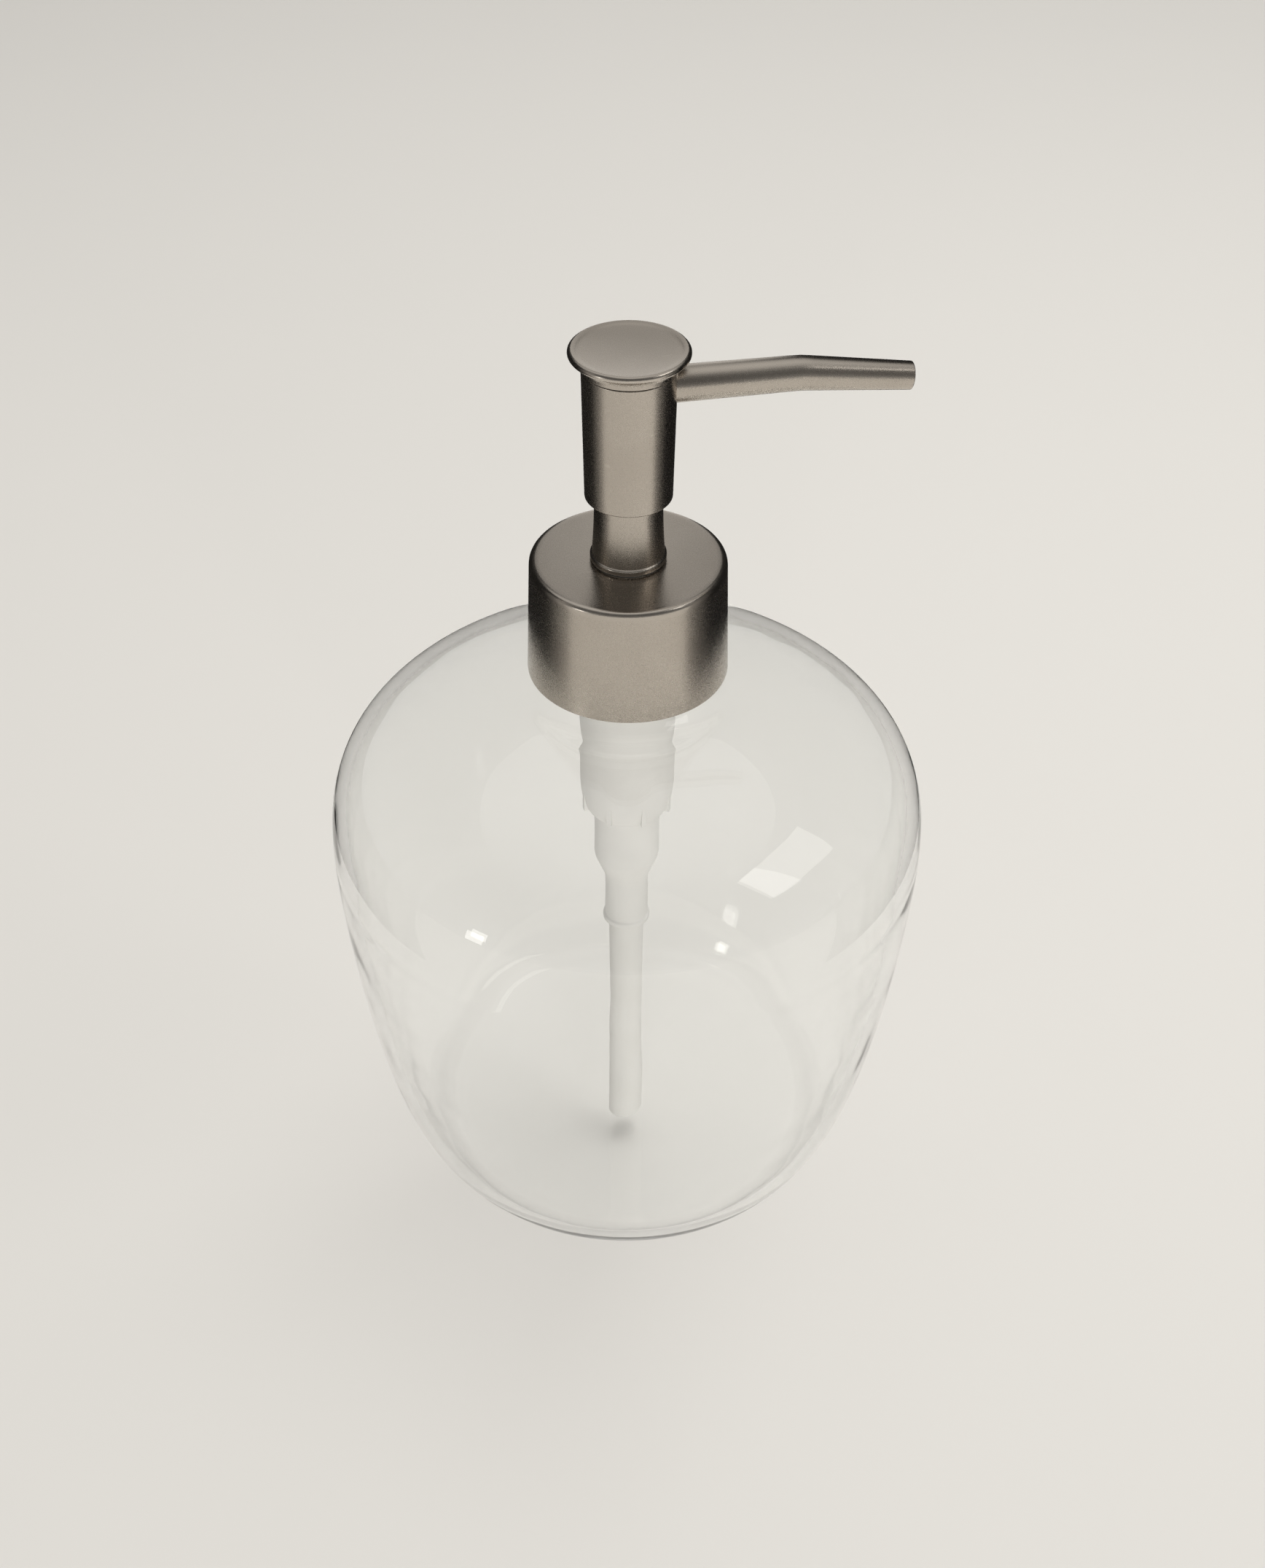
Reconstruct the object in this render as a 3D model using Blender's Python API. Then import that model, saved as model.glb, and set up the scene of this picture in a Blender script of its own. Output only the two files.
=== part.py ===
"""Soap pump dispenser: a clear glass bottle with a screw-on lotion pump.

Metres, +Z up. The bottle stands on z = 0 with its axis on Z, and the spout points along +X.
"""

import math

import bmesh
import bpy
from mathutils import Vector

# ---------------------------------------------------------------- driving dimensions

GAP = 0.0003                    # clearance left between pieces that touch

# Glass body
BODY_RADIUS = 0.0509            # at the widest height
BODY_HEIGHT = 0.1003            # base to the level top of the shoulder
WIDEST_HEIGHT = 0.0692
FOOT_RADIUS = 0.0279            # outer edge of the flat ring that it stands on
FOOT_RING_INNER = 0.0200
PUNT_DEPTH = 0.0012             # hollow under the middle of the base
GLASS_WALL = 0.0024
FLOOR_THICKNESS = 0.0050
SHOULDER_SPREAD = 1.24          # superellipse exponents: larger is squarer
SHOULDER_FULLNESS = 3.19
SIDE_SPREAD = 3.15
SIDE_FULLNESS = 1.30

# Glass neck and its thread
NECK_CLEARANCE = 0.0017         # round the pump housing where it is widest
NECK_WALL = 0.00295
NECK_LENGTH = 0.0194            # shoulder top to the mouth
NECK_FILLET = 0.0052            # height of the fillet onto the shoulder
NECK_FILLET_SPREAD = 0.00435    # how far the fillet reaches out
MOUTH_EDGE = 0.0006
THREAD_DEPTH = 0.0011
THREAD_PITCH = 0.00423
THREAD_TURNS = 1.25
THREAD_DROP = 0.0085            # mouth down to the middle of the thread's first turn
THREAD_BASE_SHARE = 0.30        # half width of a ridge at its root, in pitches
THREAD_CREST_SHARE = 0.125      # and at its crest
THREAD_ROOTED = 0.0005          # how deep a ridge is sunk into its wall

# Closure: plastic insert inside a metal shell
COLLAR_HEIGHT = 0.0205
COLLAR_FLARE = 0.00065          # how much wider the skirt is at its open end
COLLAR_EDGE = 0.0010            # rounding of the top edge
SHELL_WALL = 0.0005
INSERT_WALL = 0.00095
INSERT_TOP = 0.0012
INSERT_SHORT = 0.0007           # how far the insert's rim sits inside the shell's rim
FLANGE_CLEARANCE = 0.0018       # clamped rings to the insert's wall
HOLE_UNDERCUT = 0.0001          # how far the sleeve's foot hides the collar's hole

# Rings clamped between the closure and the mouth
GASKET_THICKNESS = 0.0009
HOUSING_FLANGE = 0.0012
CHAPLET_FLANGE = 0.0008
CHAPLET_FLANGE_RADIUS = 0.0090

# Pump housing
HOUSING_WALL = 0.0009
HOUSING_BELLY = 0.0005          # how much it swells towards the step
BELLY_HEIGHT = 0.0068           # step up to where the housing is widest
STEP_LIP = 0.0009               # how far the wide part overhangs the lower one at the step
WIDE_LENGTH = 0.0461            # flange to the step
LOWER_LENGTH = 0.0106
LOWER_WALL = 0.0010
STEP_FLOOR = 0.0018             # plastic between the step and the bore's floor
BORE_LEAD_IN = 0.0009
CONE_LENGTH = 0.0050
SPIGOT_LENGTH = 0.0106
SPIGOT_WALL = 0.0005
SPIGOT_BEAD = 0.00035           # how far the bead stands out
BEAD_HEIGHT = 0.0015
SEAT_HOLE_RADIUS = 0.0015
SEAT_DEPTH = 0.0013             # how far the valve seat's cone reaches below the lower section
SEAT_HEIGHT = 0.0048
GUSSET_COUNT = 8
GUSSET_THICKNESS = 0.0008
GUSSET_START = 0.0006           # step up to the gussets' feet
GUSSET_HEIGHT = 0.0042          # step up to their tops
GUSSET_INSET = 0.0001           # inside the belly's radius
VENT_RADIUS = 0.00075
VENT_DROP = 0.0085              # flange down to the vent's centre

# Dip tube
TUBE_RADIUS = 0.00305
TUBE_WALL = 0.00075
TUBE_FIT = 0.0002               # clearance in the spigot
TUBE_LEAN = 0.0068              # how far the tip has curled off the axis
TUBE_LEAN_ANGLE = math.radians(-101)
TUBE_FLOOR_CLEARANCE = 0.0016
TUBE_CUT = math.radians(12)     # slant of the cut end

# Inlet valve
BALL_RADIUS = 0.0022
BALL_LIFT = 0.0012
RETAINER_CLEARANCE = 0.0011     # above the raised ball
RETAINER_THICKNESS = 0.0016
RETAINER_PORTS = 3
PORT_WIDTH = 0.0014

# Piston, valve rod and stem
STROKE = 0.0100
STEM_RADIUS = 0.0034
STEM_WALL = 0.0011
STEM_FOOT_HEIGHT = 0.0015
STEM_FOOT_CLEARANCE = 0.0005    # in the chaplet's skirt
PISTON_HEIGHT = 0.0067
PISTON_LIP_WALL = 0.0007
PISTON_LIP_HEIGHT = 0.0009
PISTON_LIP_TAPER = 0.0002       # how much a lip thins from its root to its edge
PISTON_RELIEF = 0.0003          # waist between the two lips
PISTON_WEB = 0.0016
PISTON_HUB_HEIGHT = 0.0033
PISTON_SLIP = 0.0008            # lost motion that opens the outlet valve
ROD_FLANGE = 0.0015
ROD_TOP_LENGTH = 0.0110
ROD_FLANGE_LIP = 0.0005         # how far the rod's flange reaches past the spring
ROD_SPIGOT_LENGTH = 0.0038
ROD_SPIGOT_CLEARANCE = 0.0007   # inside the spring
FLUTE_WIDTH = 0.0010
PISTON_FLOOR_CLEARANCE = 0.0010

# Return spring
SPRING_RADIUS = 0.0037          # to the middle of the wire
WIRE_RADIUS = 0.0004
SPRING_TURNS = 6.5
SPRING_CLEARANCE = 0.0005       # in the lower bore
END_COIL_PITCH = 2.3            # rise of the closed end coils, in wire radii

# Chaplet, stem seal and neck sleeve
CHAPLET_WALL = 0.0010
CHAPLET_SKIRT = 0.0154          # length of the skirt inside the housing
CHAPLET_STEP = 0.0108           # flange's underside down to the throat's step
CHAPLET_NECK_WALL = 0.0009
SEAL_THICKNESS = 0.0010
SEAL_WIDTH = 0.0013
SLEEVE_WALL = 0.0005
SLEEVE_FLARE = 0.0004
SLEEVE_BEAD = 0.0003
SLEEVE_BEAD_HEIGHT = 0.0009
SLEEVE_HEIGHT = 0.0123

# Press head
PRESS_CLEARANCE = 0.0017        # left over the collar when the head is right down
BARREL_LENGTH = 0.0219
BARREL_WALL = 0.00045
BARREL_FLARE = 0.0004           # how much wider the barrel is at its top
BARREL_CLEARANCE = 0.00035      # round the sleeve's bead
CAP_OVERHANG = 0.0020
CAP_HEIGHT = 0.0030
CAP_RIM = 0.0012
CAP_COVE = 0.00025              # how far the cap's skirt stands out past the barrel
CAP_DISH = 0.0008
CAP_SHEET = 0.0009
CAP_SKIRT_WALL = 0.0011
CORE_HEIGHT = 0.0091
SOCKET_DEPTH = 0.0040
DUCT_RADIUS = 0.0013
LINER_SEAT = 0.0028             # how deep the liner sits in the core

# Spout
SPOUT_DROP = 0.0033             # barrel's top edge down to the spout's axis
SPOUT_ROOT_RADIUS = 0.00285
SPOUT_BEND_RADIUS = 0.00268     # radius of the tube at its bend
SPOUT_TIP_RADIUS = 0.0022
SPOUT_WALL = 0.0004
SPOUT_BEND_AT = 0.0264          # axis to the bend
SPOUT_REACH = 0.04396           # axis to the tip
SPOUT_SLOPE = math.radians(-6.9)
SPOUT_BEND_SWEEP = 0.0080       # radius that the bend follows
LINER_WALL = 0.0006
LINER_SHORT = 0.0006            # how far the liner's end sits inside the spout's

# Small edges
CHAMFER = 0.0004                # on small moulded pieces
SHEET_EDGE = 0.0002             # on pressed metal

# ---------------------------------------------------------------- radii, from the stem outwards

throat_radius = STEM_RADIUS + GAP
seal_radius = throat_radius + SEAL_WIDTH
chaplet_skirt_bore = seal_radius + GAP
chaplet_skirt_radius = chaplet_skirt_bore + CHAPLET_WALL
housing_bore = chaplet_skirt_radius + GAP
housing_radius = housing_bore + HOUSING_WALL
belly_radius = housing_radius + HOUSING_BELLY

neck_bore = belly_radius + NECK_CLEARANCE
neck_radius = neck_bore + NECK_WALL
shoulder_start = neck_radius + NECK_FILLET_SPREAD
thread_crest = neck_radius + THREAD_DEPTH
insert_root = thread_crest + GAP
insert_radius = insert_root + INSERT_WALL
shell_inner = insert_radius + GAP
collar_radius = shell_inner + SHELL_WALL
flange_radius = insert_root - FLANGE_CLEARANCE

lower_bore = SPRING_RADIUS + WIRE_RADIUS + SPRING_CLEARANCE
lower_radius = lower_bore + LOWER_WALL
tube_socket = TUBE_RADIUS + TUBE_FIT
spigot_radius = tube_socket + SPIGOT_WALL

piston_radius = housing_bore - GAP
piston_cup_bore = piston_radius - PISTON_LIP_WALL
stem_bore = STEM_RADIUS - STEM_WALL
rod_radius = stem_bore - GAP
rod_flange_radius = SPRING_RADIUS + WIRE_RADIUS + ROD_FLANGE_LIP
rod_spigot_radius = SPRING_RADIUS - WIRE_RADIUS - ROD_SPIGOT_CLEARANCE

sleeve_radius = throat_radius + CHAPLET_NECK_WALL + GAP + SLEEVE_WALL
sleeve_base_radius = sleeve_radius + SLEEVE_FLARE
bead_radius = sleeve_base_radius + SLEEVE_BEAD
neck_hole_radius = sleeve_base_radius - HOLE_UNDERCUT

barrel_radius = bead_radius + BARREL_CLEARANCE + BARREL_WALL
barrel_top_radius = barrel_radius + BARREL_FLARE
core_radius = barrel_radius - BARREL_WALL - BARREL_CLEARANCE
cap_radius = barrel_top_radius + CAP_OVERHANG
liner_root_radius = SPOUT_ROOT_RADIUS - SPOUT_WALL - GAP

# ---------------------------------------------------------------- heights along the axis

mouth_z = BODY_HEIGHT + NECK_LENGTH
gasket_z = mouth_z + GAP
flange_z = gasket_z + GASKET_THICKNESS + GAP
chaplet_flange_z = flange_z + HOUSING_FLANGE + GAP
insert_under_z = chaplet_flange_z + CHAPLET_FLANGE + GAP
shell_under_z = insert_under_z + INSERT_TOP + GAP
collar_top_z = shell_under_z + SHELL_WALL
collar_rim_z = collar_top_z - COLLAR_HEIGHT

step_z = flange_z - WIDE_LENGTH
cone_z = step_z - LOWER_LENGTH
spigot_z = cone_z - CONE_LENGTH
spigot_end_z = spigot_z - SPIGOT_LENGTH
tube_top_z = spigot_z - 2 * GAP

sleeve_z = collar_top_z + GAP
chaplet_top_z = sleeve_z + SLEEVE_HEIGHT - GAP
throat_z = flange_z - CHAPLET_STEP + HOUSING_FLANGE
chaplet_end_z = flange_z + HOUSING_FLANGE - CHAPLET_SKIRT

head_z = collar_top_z + STROKE + PRESS_CLEARANCE
barrel_top_z = head_z + BARREL_LENGTH
spout_z = barrel_top_z - SPOUT_DROP
core_z = barrel_top_z - CORE_HEIGHT - GAP
cap_z = barrel_top_z + GAP

seat_low_z = cone_z - SEAT_DEPTH
seat_high_z = seat_low_z + SEAT_HEIGHT
seat_slope = (lower_bore - SEAT_HOLE_RADIUS) / SEAT_HEIGHT
seat_apex_z = seat_low_z - SEAT_HOLE_RADIUS / seat_slope
ball_z = seat_apex_z + (BALL_RADIUS + GAP) / math.sin(math.atan(seat_slope))
retainer_z = ball_z + BALL_RADIUS + BALL_LIFT + RETAINER_CLEARANCE
spring_z = retainer_z + RETAINER_THICKNESS + GAP

bore_floor_z = step_z + LOWER_WALL + STEP_FLOOR
piston_z = bore_floor_z + PISTON_FLOOR_CLEARANCE + STROKE
rod_flange_z = piston_z - GAP
spring_top_z = rod_flange_z - GAP
hub_z = rod_flange_z + ROD_FLANGE + GAP
stem_z = hub_z + PISTON_HUB_HEIGHT + PISTON_SLIP + GAP
seal_z = throat_z - GAP - SEAL_THICKNESS
stem_stop_z = seal_z - GAP - STEM_FOOT_HEIGHT
stem_top_z = core_z + SOCKET_DEPTH - GAP

# ---------------------------------------------------------------- tools

FINE = 36                       # sides of a turned piece, by its size
MEDIUM = 24
SMALL = 20
CUT_PAST = 0.001                # how far a cutter reaches past what it cuts


def clear_scene():
    for old in list(bpy.data.objects):
        bpy.data.objects.remove(old)


def finish(name, colour, roughness, metallic=0.0, alpha=1.0):
    """A Principled material."""
    material = bpy.data.materials.new(name)
    material.use_nodes = True
    shader = material.node_tree.nodes["Principled BSDF"]
    shader.inputs["Base Color"].default_value = (*colour, 1.0)
    shader.inputs["Roughness"].default_value = roughness
    shader.inputs["Metallic"].default_value = metallic
    shader.inputs["Alpha"].default_value = alpha
    return material


def empty(name, height, parent=None):
    """A joint's empty on the bottle's axis, at a height above the base."""
    holder = bpy.data.objects.new(name, None)
    holder.empty_display_size = 0.01
    bpy.context.scene.collection.objects.link(holder)
    holder.parent = parent
    holder.location.z = height - (world_height(parent) if parent else 0.0)
    return holder


def world_height(holder):
    height = 0.0
    while holder:
        height += holder.location.z
        holder = holder.parent
    return height


def add_object(name, mesh_data, material, parent, height):
    """Links a mesh as a sub-part whose origin is on the axis at a height above the base."""
    part = bpy.data.objects.new(name, mesh_data)
    bpy.context.scene.collection.objects.link(part)
    part.parent = parent
    part.location.z = height - world_height(parent)
    if material:
        part.data.materials.append(material)
    part.data.shade_smooth()
    part.data.set_sharp_from_angle(angle=math.radians(35))
    return part


def mesh_from(name, bm):
    """Writes a bmesh out with its doubles merged and its faces pointing outwards."""
    bmesh.ops.remove_doubles(bm, verts=bm.verts, dist=1e-7)
    bmesh.ops.dissolve_degenerate(bm, edges=bm.edges, dist=1e-7)
    bmesh.ops.recalc_face_normals(bm, faces=bm.faces)
    if bm.calc_volume(signed=True) < 0:
        bmesh.ops.reverse_faces(bm, faces=bm.faces)
    data = bpy.data.meshes.new(name)
    bm.to_mesh(data)
    bm.free()
    return data


def turned_mesh(name, profile, segments, closed=True):
    """Spins (radius, height) points about Z. An open profile starts and ends on the axis."""
    bm = bmesh.new()
    verts = [bm.verts.new((radius, 0.0, height)) for radius, height in profile]
    pairs = list(zip(verts, verts[1:]))
    if closed:
        pairs.append((verts[-1], verts[0]))
    edges = [bm.edges.new(pair) for pair in pairs]
    bmesh.ops.spin(
        bm,
        geom=verts + edges,
        cent=(0, 0, 0),
        axis=(0, 0, 1),
        angle=math.tau,
        steps=segments,
        use_merge=True,
    )
    return mesh_from(name, bm)


def shifted(profile, height):
    return [(radius, z - height) for radius, z in profile]


def turned(name, profile, segments, material, parent, height, closed=True):
    """A turned sub-part. Its profile is given in heights above the bottle's base."""
    data = turned_mesh(name, shifted(profile, height), segments, closed)
    return add_object(name, data, material, parent, height)


def quarter(centre, radii, start, steps):
    """Points of a quarter ellipse, clockwise from a starting angle in degrees."""
    points = []
    for step in range(steps + 1):
        angle = math.radians(start - 90 * step / steps)
        points.append((centre[0] + radii[0] * math.cos(angle), centre[1] + radii[1] * math.sin(angle)))
    return points


def combine(part, helper, operation):
    """Cuts a helper from a part, or joins it on, and hides the helper."""
    helper.hide_render = True
    helper.display_type = "WIRE"
    modifier = part.modifiers.new(helper.name, "BOOLEAN")
    modifier.operation = operation
    modifier.object = helper
    modifier.solver = "EXACT"


def helper_object(name, data, parent, height):
    return add_object(name, data, None, parent, height)


def box_into(bm, low, high, turn=0.0):
    """Adds a box to a bmesh, turned about Z."""
    made = bmesh.ops.create_cube(bm, size=1.0)["verts"]
    size = Vector(high) - Vector(low)
    middle = (Vector(high) + Vector(low)) / 2
    for vert in made:
        spot = Vector(vert.co[i] * size[i] + middle[i] for i in range(3))
        vert.co = (
            spot.x * math.cos(turn) - spot.y * math.sin(turn),
            spot.x * math.sin(turn) + spot.y * math.cos(turn),
            spot.z,
        )


def fins_mesh(name, count, low, high, phase=0.0):
    """Equal boxes set round the axis."""
    bm = bmesh.new()
    for index in range(count):
        box_into(bm, low, high, phase + math.tau * index / count)
    data = bpy.data.meshes.new(name)
    bmesh.ops.recalc_face_normals(bm, faces=bm.faces)
    bm.to_mesh(data)
    bm.free()
    return data


def rod_mesh(name, radius, start, end, sides):
    """A closed cylinder from one point to another."""
    start, end = Vector(start), Vector(end)
    bm = bmesh.new()
    bmesh.ops.create_cone(
        bm, cap_ends=True, segments=sides, radius1=radius, radius2=radius, depth=(end - start).length
    )
    turn = (end - start).to_track_quat("Z", "Y").to_matrix()
    for vert in bm.verts:
        vert.co = turn @ vert.co + (start + end) / 2
    data = bpy.data.meshes.new(name)
    bm.to_mesh(data)
    bm.free()
    return data


def rings_into(bm, rings):
    """Joins rings of points with quads and returns the rings' vertices."""
    made = [[bm.verts.new(point) for point in ring] for ring in rings]
    for first, second in zip(made, made[1:]):
        for index in range(len(first)):
            after = (index + 1) % len(first)
            bm.faces.new((first[index], first[after], second[after], second[index]))
    return made


def ring_about(centre, tangent, radius, sides):
    """A ring of points square to the tangent. The path stays near a vertical plane."""
    along = Vector(tangent).normalized()
    across = Vector((0, 1, 0)) if abs(along.y) < 0.9 else Vector((1, 0, 0))
    up = along.cross(across).normalized()
    across = up.cross(along).normalized()
    points = []
    for side in range(sides):
        angle = math.tau * side / sides
        points.append(Vector(centre) + radius * (math.cos(angle) * across + math.sin(angle) * up))
    return points


def tube_mesh(name, path, outer, inner, sides, cut=0.0):
    """A pipe along a path, with its two walls joined at the ends.

    cut slants the far end, as a blade leaves it.
    """
    count = len(path)
    tangents = []
    for index in range(count):
        before = Vector(path[max(index - 1, 0)])
        after = Vector(path[min(index + 1, count - 1)])
        tangents.append(after - before)
    outside = [ring_about(path[i], tangents[i], outer[i], sides) for i in range(count)]
    inside = [ring_about(path[i], tangents[i], inner[i], sides) for i in range(count)]
    for ring in (outside[-1], inside[-1]):
        for point in ring:
            point.z += (point.x - path[-1][0]) * math.tan(cut)
    bm = bmesh.new()
    rings = outside + inside[::-1] + [outside[0]]
    rings_into(bm, rings)
    return mesh_from(name, bm)


def ridge_mesh(name, root, crest, middle_z):
    """A helical thread ridge of one rounded-off section, run out to nothing at both ends.

    root is the buried side and crest the free side, so crest < root is an internal thread.
    """
    base_half = THREAD_PITCH * THREAD_BASE_SHARE
    crest_half = THREAD_PITCH * THREAD_CREST_SHARE
    steps = round(THREAD_TURNS * FINE)
    run_out = FINE // 8
    rings = []
    for step in range(steps + 1):
        angle = math.tau * step / FINE
        height = middle_z + THREAD_PITCH * (step / FINE - THREAD_TURNS / 2)
        rise = min(1.0, (step + 1) / run_out, (steps - step + 1) / run_out)
        tip = root + (crest - root) * (0.5 + 0.5 * rise)
        section = (
            (root, height - base_half),
            (tip, height - crest_half),
            (tip, height + crest_half),
            (root, height + base_half),
        )
        rings.append([Vector((r * math.cos(angle), r * math.sin(angle), z)) for r, z in section])
    bm = bmesh.new()
    made = rings_into(bm, rings)
    bm.faces.new(made[0])
    bm.faces.new(made[-1])
    return mesh_from(name, bm)


# ---------------------------------------------------------------- glass bottle


def shoulder_curve(steps):
    """Outer shoulder, from the neck's fillet down to the widest height."""
    points = []
    for step in range(steps + 1):
        turn = math.pi / 2 * step / steps
        spread = math.sin(turn) ** (2 / SHOULDER_SPREAD)
        drop = max(math.cos(turn), 0.0) ** (2 / SHOULDER_FULLNESS)
        radius = shoulder_start + (BODY_RADIUS - shoulder_start) * spread
        points.append((radius, WIDEST_HEIGHT + (BODY_HEIGHT - WIDEST_HEIGHT) * drop))
    return points


def side_curve(steps):
    """Outer side, from just under the widest height down to the foot."""
    points = []
    for step in range(1, steps + 1):
        turn = math.pi / 2 * step / steps
        spread = max(math.cos(turn), 0.0) ** (2 / SIDE_SPREAD)
        drop = math.sin(turn) ** (2 / SIDE_FULLNESS)
        radius = FOOT_RADIUS + (BODY_RADIUS - FOOT_RADIUS) * spread
        points.append((radius, WIDEST_HEIGHT * (1 - drop)))
    return points


def neck_fillet(steps):
    """Outer fillet from the neck's wall out to the level shoulder."""
    points = []
    for step in range(steps):
        turn = math.pi / 2 * step / steps
        radius = neck_radius + (shoulder_start - neck_radius) * (1 - math.cos(turn))
        points.append((radius, BODY_HEIGHT + NECK_FILLET * (1 - math.sin(turn))))
    return points


def wall_at(radius):
    """Glass thickness: the neck's own wall, thinning to the body's over the fillet."""
    neck_wall = neck_radius - neck_bore
    share = min(max((radius - neck_radius) / (shoulder_start - neck_radius), 0.0), 1.0)
    return neck_wall + (GLASS_WALL - neck_wall) * share


def inner_curve():
    """The inside of the glass: the outer curve moved in by the wall, down to the floor."""
    outer = neck_fillet(3) + shoulder_curve(8) + side_curve(6)
    points = []
    for index in range(len(outer)):
        before = Vector(outer[max(index - 1, 0)])
        after = Vector(outer[min(index + 1, len(outer) - 1)])
        along = (after - before).normalized()
        wall = wall_at(outer[index][0])
        radius = outer[index][0] + along.y * wall
        height = outer[index][1] - along.x * wall
        if height > FLOOR_THICKNESS + GLASS_WALL:
            points.append((radius, height))
    corner = points[-1][0]
    points.append((corner - 0.35 * GLASS_WALL, FLOOR_THICKNESS + 0.4 * GLASS_WALL))
    points.append((corner - 1.6 * GLASS_WALL, FLOOR_THICKNESS))
    return points


def glass_bottle(material, parent):
    outer = neck_fillet(3) + shoulder_curve(11) + side_curve(9)
    mouth = [
        (neck_bore + MOUTH_EDGE, mouth_z),
        (neck_radius - MOUTH_EDGE, mouth_z),
        (neck_radius, mouth_z - MOUTH_EDGE),
    ]
    under = [(FOOT_RING_INNER, 0.0), (FOOT_RING_INNER * 0.9, PUNT_DEPTH * 0.7), (0.0, PUNT_DEPTH)]
    inside = [(neck_bore, mouth_z - MOUTH_EDGE)] + inner_curve() + [(0.0, FLOOR_THICKNESS)]
    profile = under[::-1] + outer[::-1] + mouth[::-1] + inside
    bottle = turned("glass_bottle", profile, FINE, material, parent, 0.0, closed=False)
    ridge = ridge_mesh(
        "neck_thread", neck_radius - THREAD_ROOTED, thread_crest, mouth_z - THREAD_DROP
    )
    combine(bottle, helper_object("neck_thread", ridge, parent, 0.0), "UNION")


# ---------------------------------------------------------------- closure


def collar_shell(material, parent):
    rim = collar_radius + COLLAR_FLARE
    outer = quarter(
        (collar_radius - COLLAR_EDGE, collar_top_z - COLLAR_EDGE), (COLLAR_EDGE, COLLAR_EDGE), 90, 4
    )
    profile = (
        [(neck_hole_radius, collar_top_z)]
        + outer
        + [(rim, collar_rim_z), (rim - SHELL_WALL, collar_rim_z)]
        + [(shell_inner, shell_under_z - COLLAR_EDGE / 2), (shell_inner - COLLAR_EDGE / 2, shell_under_z)]
        + [(neck_hole_radius, shell_under_z)]
    )
    turned("collar_shell", profile, FINE, material, parent, collar_top_z)


def closure_insert(material, parent):
    rim_z = collar_rim_z + INSERT_SHORT
    top_z = insert_under_z + INSERT_TOP
    profile = [
        (neck_hole_radius, top_z),
        (insert_radius - COLLAR_EDGE, top_z),
        (insert_radius, top_z - COLLAR_EDGE),
        (insert_radius + COLLAR_FLARE, rim_z),
        (insert_root, rim_z),
        (insert_root, insert_under_z),
        (neck_hole_radius, insert_under_z),
    ]
    insert = turned("closure_insert", profile, FINE, material, parent, top_z)
    ridge = ridge_mesh(
        "insert_thread",
        insert_root + THREAD_ROOTED,
        neck_radius + GAP,
        mouth_z - THREAD_DROP - THREAD_PITCH / 2,
    )
    combine(insert, helper_object("insert_thread", ridge, parent, 0.0), "UNION")


# ---------------------------------------------------------------- pump body


def neck_gasket(material, parent):
    inner = neck_bore + GAP
    profile = [
        (inner, gasket_z + GASKET_THICKNESS),
        (flange_radius, gasket_z + GASKET_THICKNESS),
        (flange_radius, gasket_z),
        (inner, gasket_z),
    ]
    turned("neck_gasket", profile, MEDIUM, material, parent, gasket_z)


def housing_outside():
    """Outer wall of the housing, from the flange down to the spigot's end."""
    top_z = flange_z + HOUSING_FLANGE
    foot = lower_radius + STEP_LIP
    shoulder = quarter((foot, step_z + BELLY_HEIGHT), (belly_radius - foot, BELLY_HEIGHT), 0, 4)
    return (
        [(flange_radius, top_z), (flange_radius, flange_z), (housing_radius, flange_z)]
        + [(housing_radius + HOUSING_BELLY * 0.3, step_z + WIDE_LENGTH * 0.45)]
        + shoulder
        + [(lower_radius, step_z), (lower_radius, cone_z), (spigot_radius, spigot_z)]
        + [(spigot_radius, spigot_end_z + BEAD_HEIGHT)]
        + [(spigot_radius + SPIGOT_BEAD, spigot_end_z + BEAD_HEIGHT * 0.8)]
        + [(spigot_radius + SPIGOT_BEAD, spigot_end_z + BEAD_HEIGHT * 0.2)]
        + [(spigot_radius, spigot_end_z)]
    )


def housing_inside():
    """Bores of the housing, from the spigot's end up to the flange."""
    return [
        (tube_socket, spigot_end_z),
        (tube_socket, spigot_z - GAP),
        (SEAT_HOLE_RADIUS, spigot_z - GAP),
        (SEAT_HOLE_RADIUS, seat_low_z),
        (lower_bore, seat_high_z),
        (lower_bore, bore_floor_z - BORE_LEAD_IN),
        (housing_bore, bore_floor_z),
        (housing_bore, flange_z + HOUSING_FLANGE),
    ]


def housing(material, parent):
    profile = housing_outside() + housing_inside()
    body = turned("housing", profile, MEDIUM, material, parent, flange_z)
    fins = fins_mesh(
        "gussets",
        GUSSET_COUNT,
        (housing_bore + HOUSING_WALL / 2, -GUSSET_THICKNESS / 2, step_z + GUSSET_START),
        (belly_radius - GUSSET_INSET, GUSSET_THICKNESS / 2, step_z + GUSSET_HEIGHT),
        phase=math.radians(11),
    )
    combine(body, helper_object("gussets", fins, parent, 0.0), "UNION")
    vent_z = flange_z - VENT_DROP
    vent = rod_mesh(
        "vent",
        VENT_RADIUS,
        (housing_bore - CUT_PAST, 0, vent_z),
        (housing_radius + CUT_PAST, 0, vent_z),
        12,
    )
    combine(body, helper_object("vent", vent, parent, 0.0), "DIFFERENCE")


def dip_tube_path():
    """The tube's centreline: straight out of the spigot, then curling off the axis."""
    tip_z = FLOOR_THICKNESS + TUBE_FLOOR_CLEARANCE
    path = [(0.0, 0.0, tube_top_z)]
    steps = 10
    for step in range(steps + 1):
        share = step / steps
        lean = TUBE_LEAN * share**1.7
        height = spigot_end_z + (tip_z - spigot_end_z) * share
        path.append((lean * math.cos(TUBE_LEAN_ANGLE), lean * math.sin(TUBE_LEAN_ANGLE), height))
    return path


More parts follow.
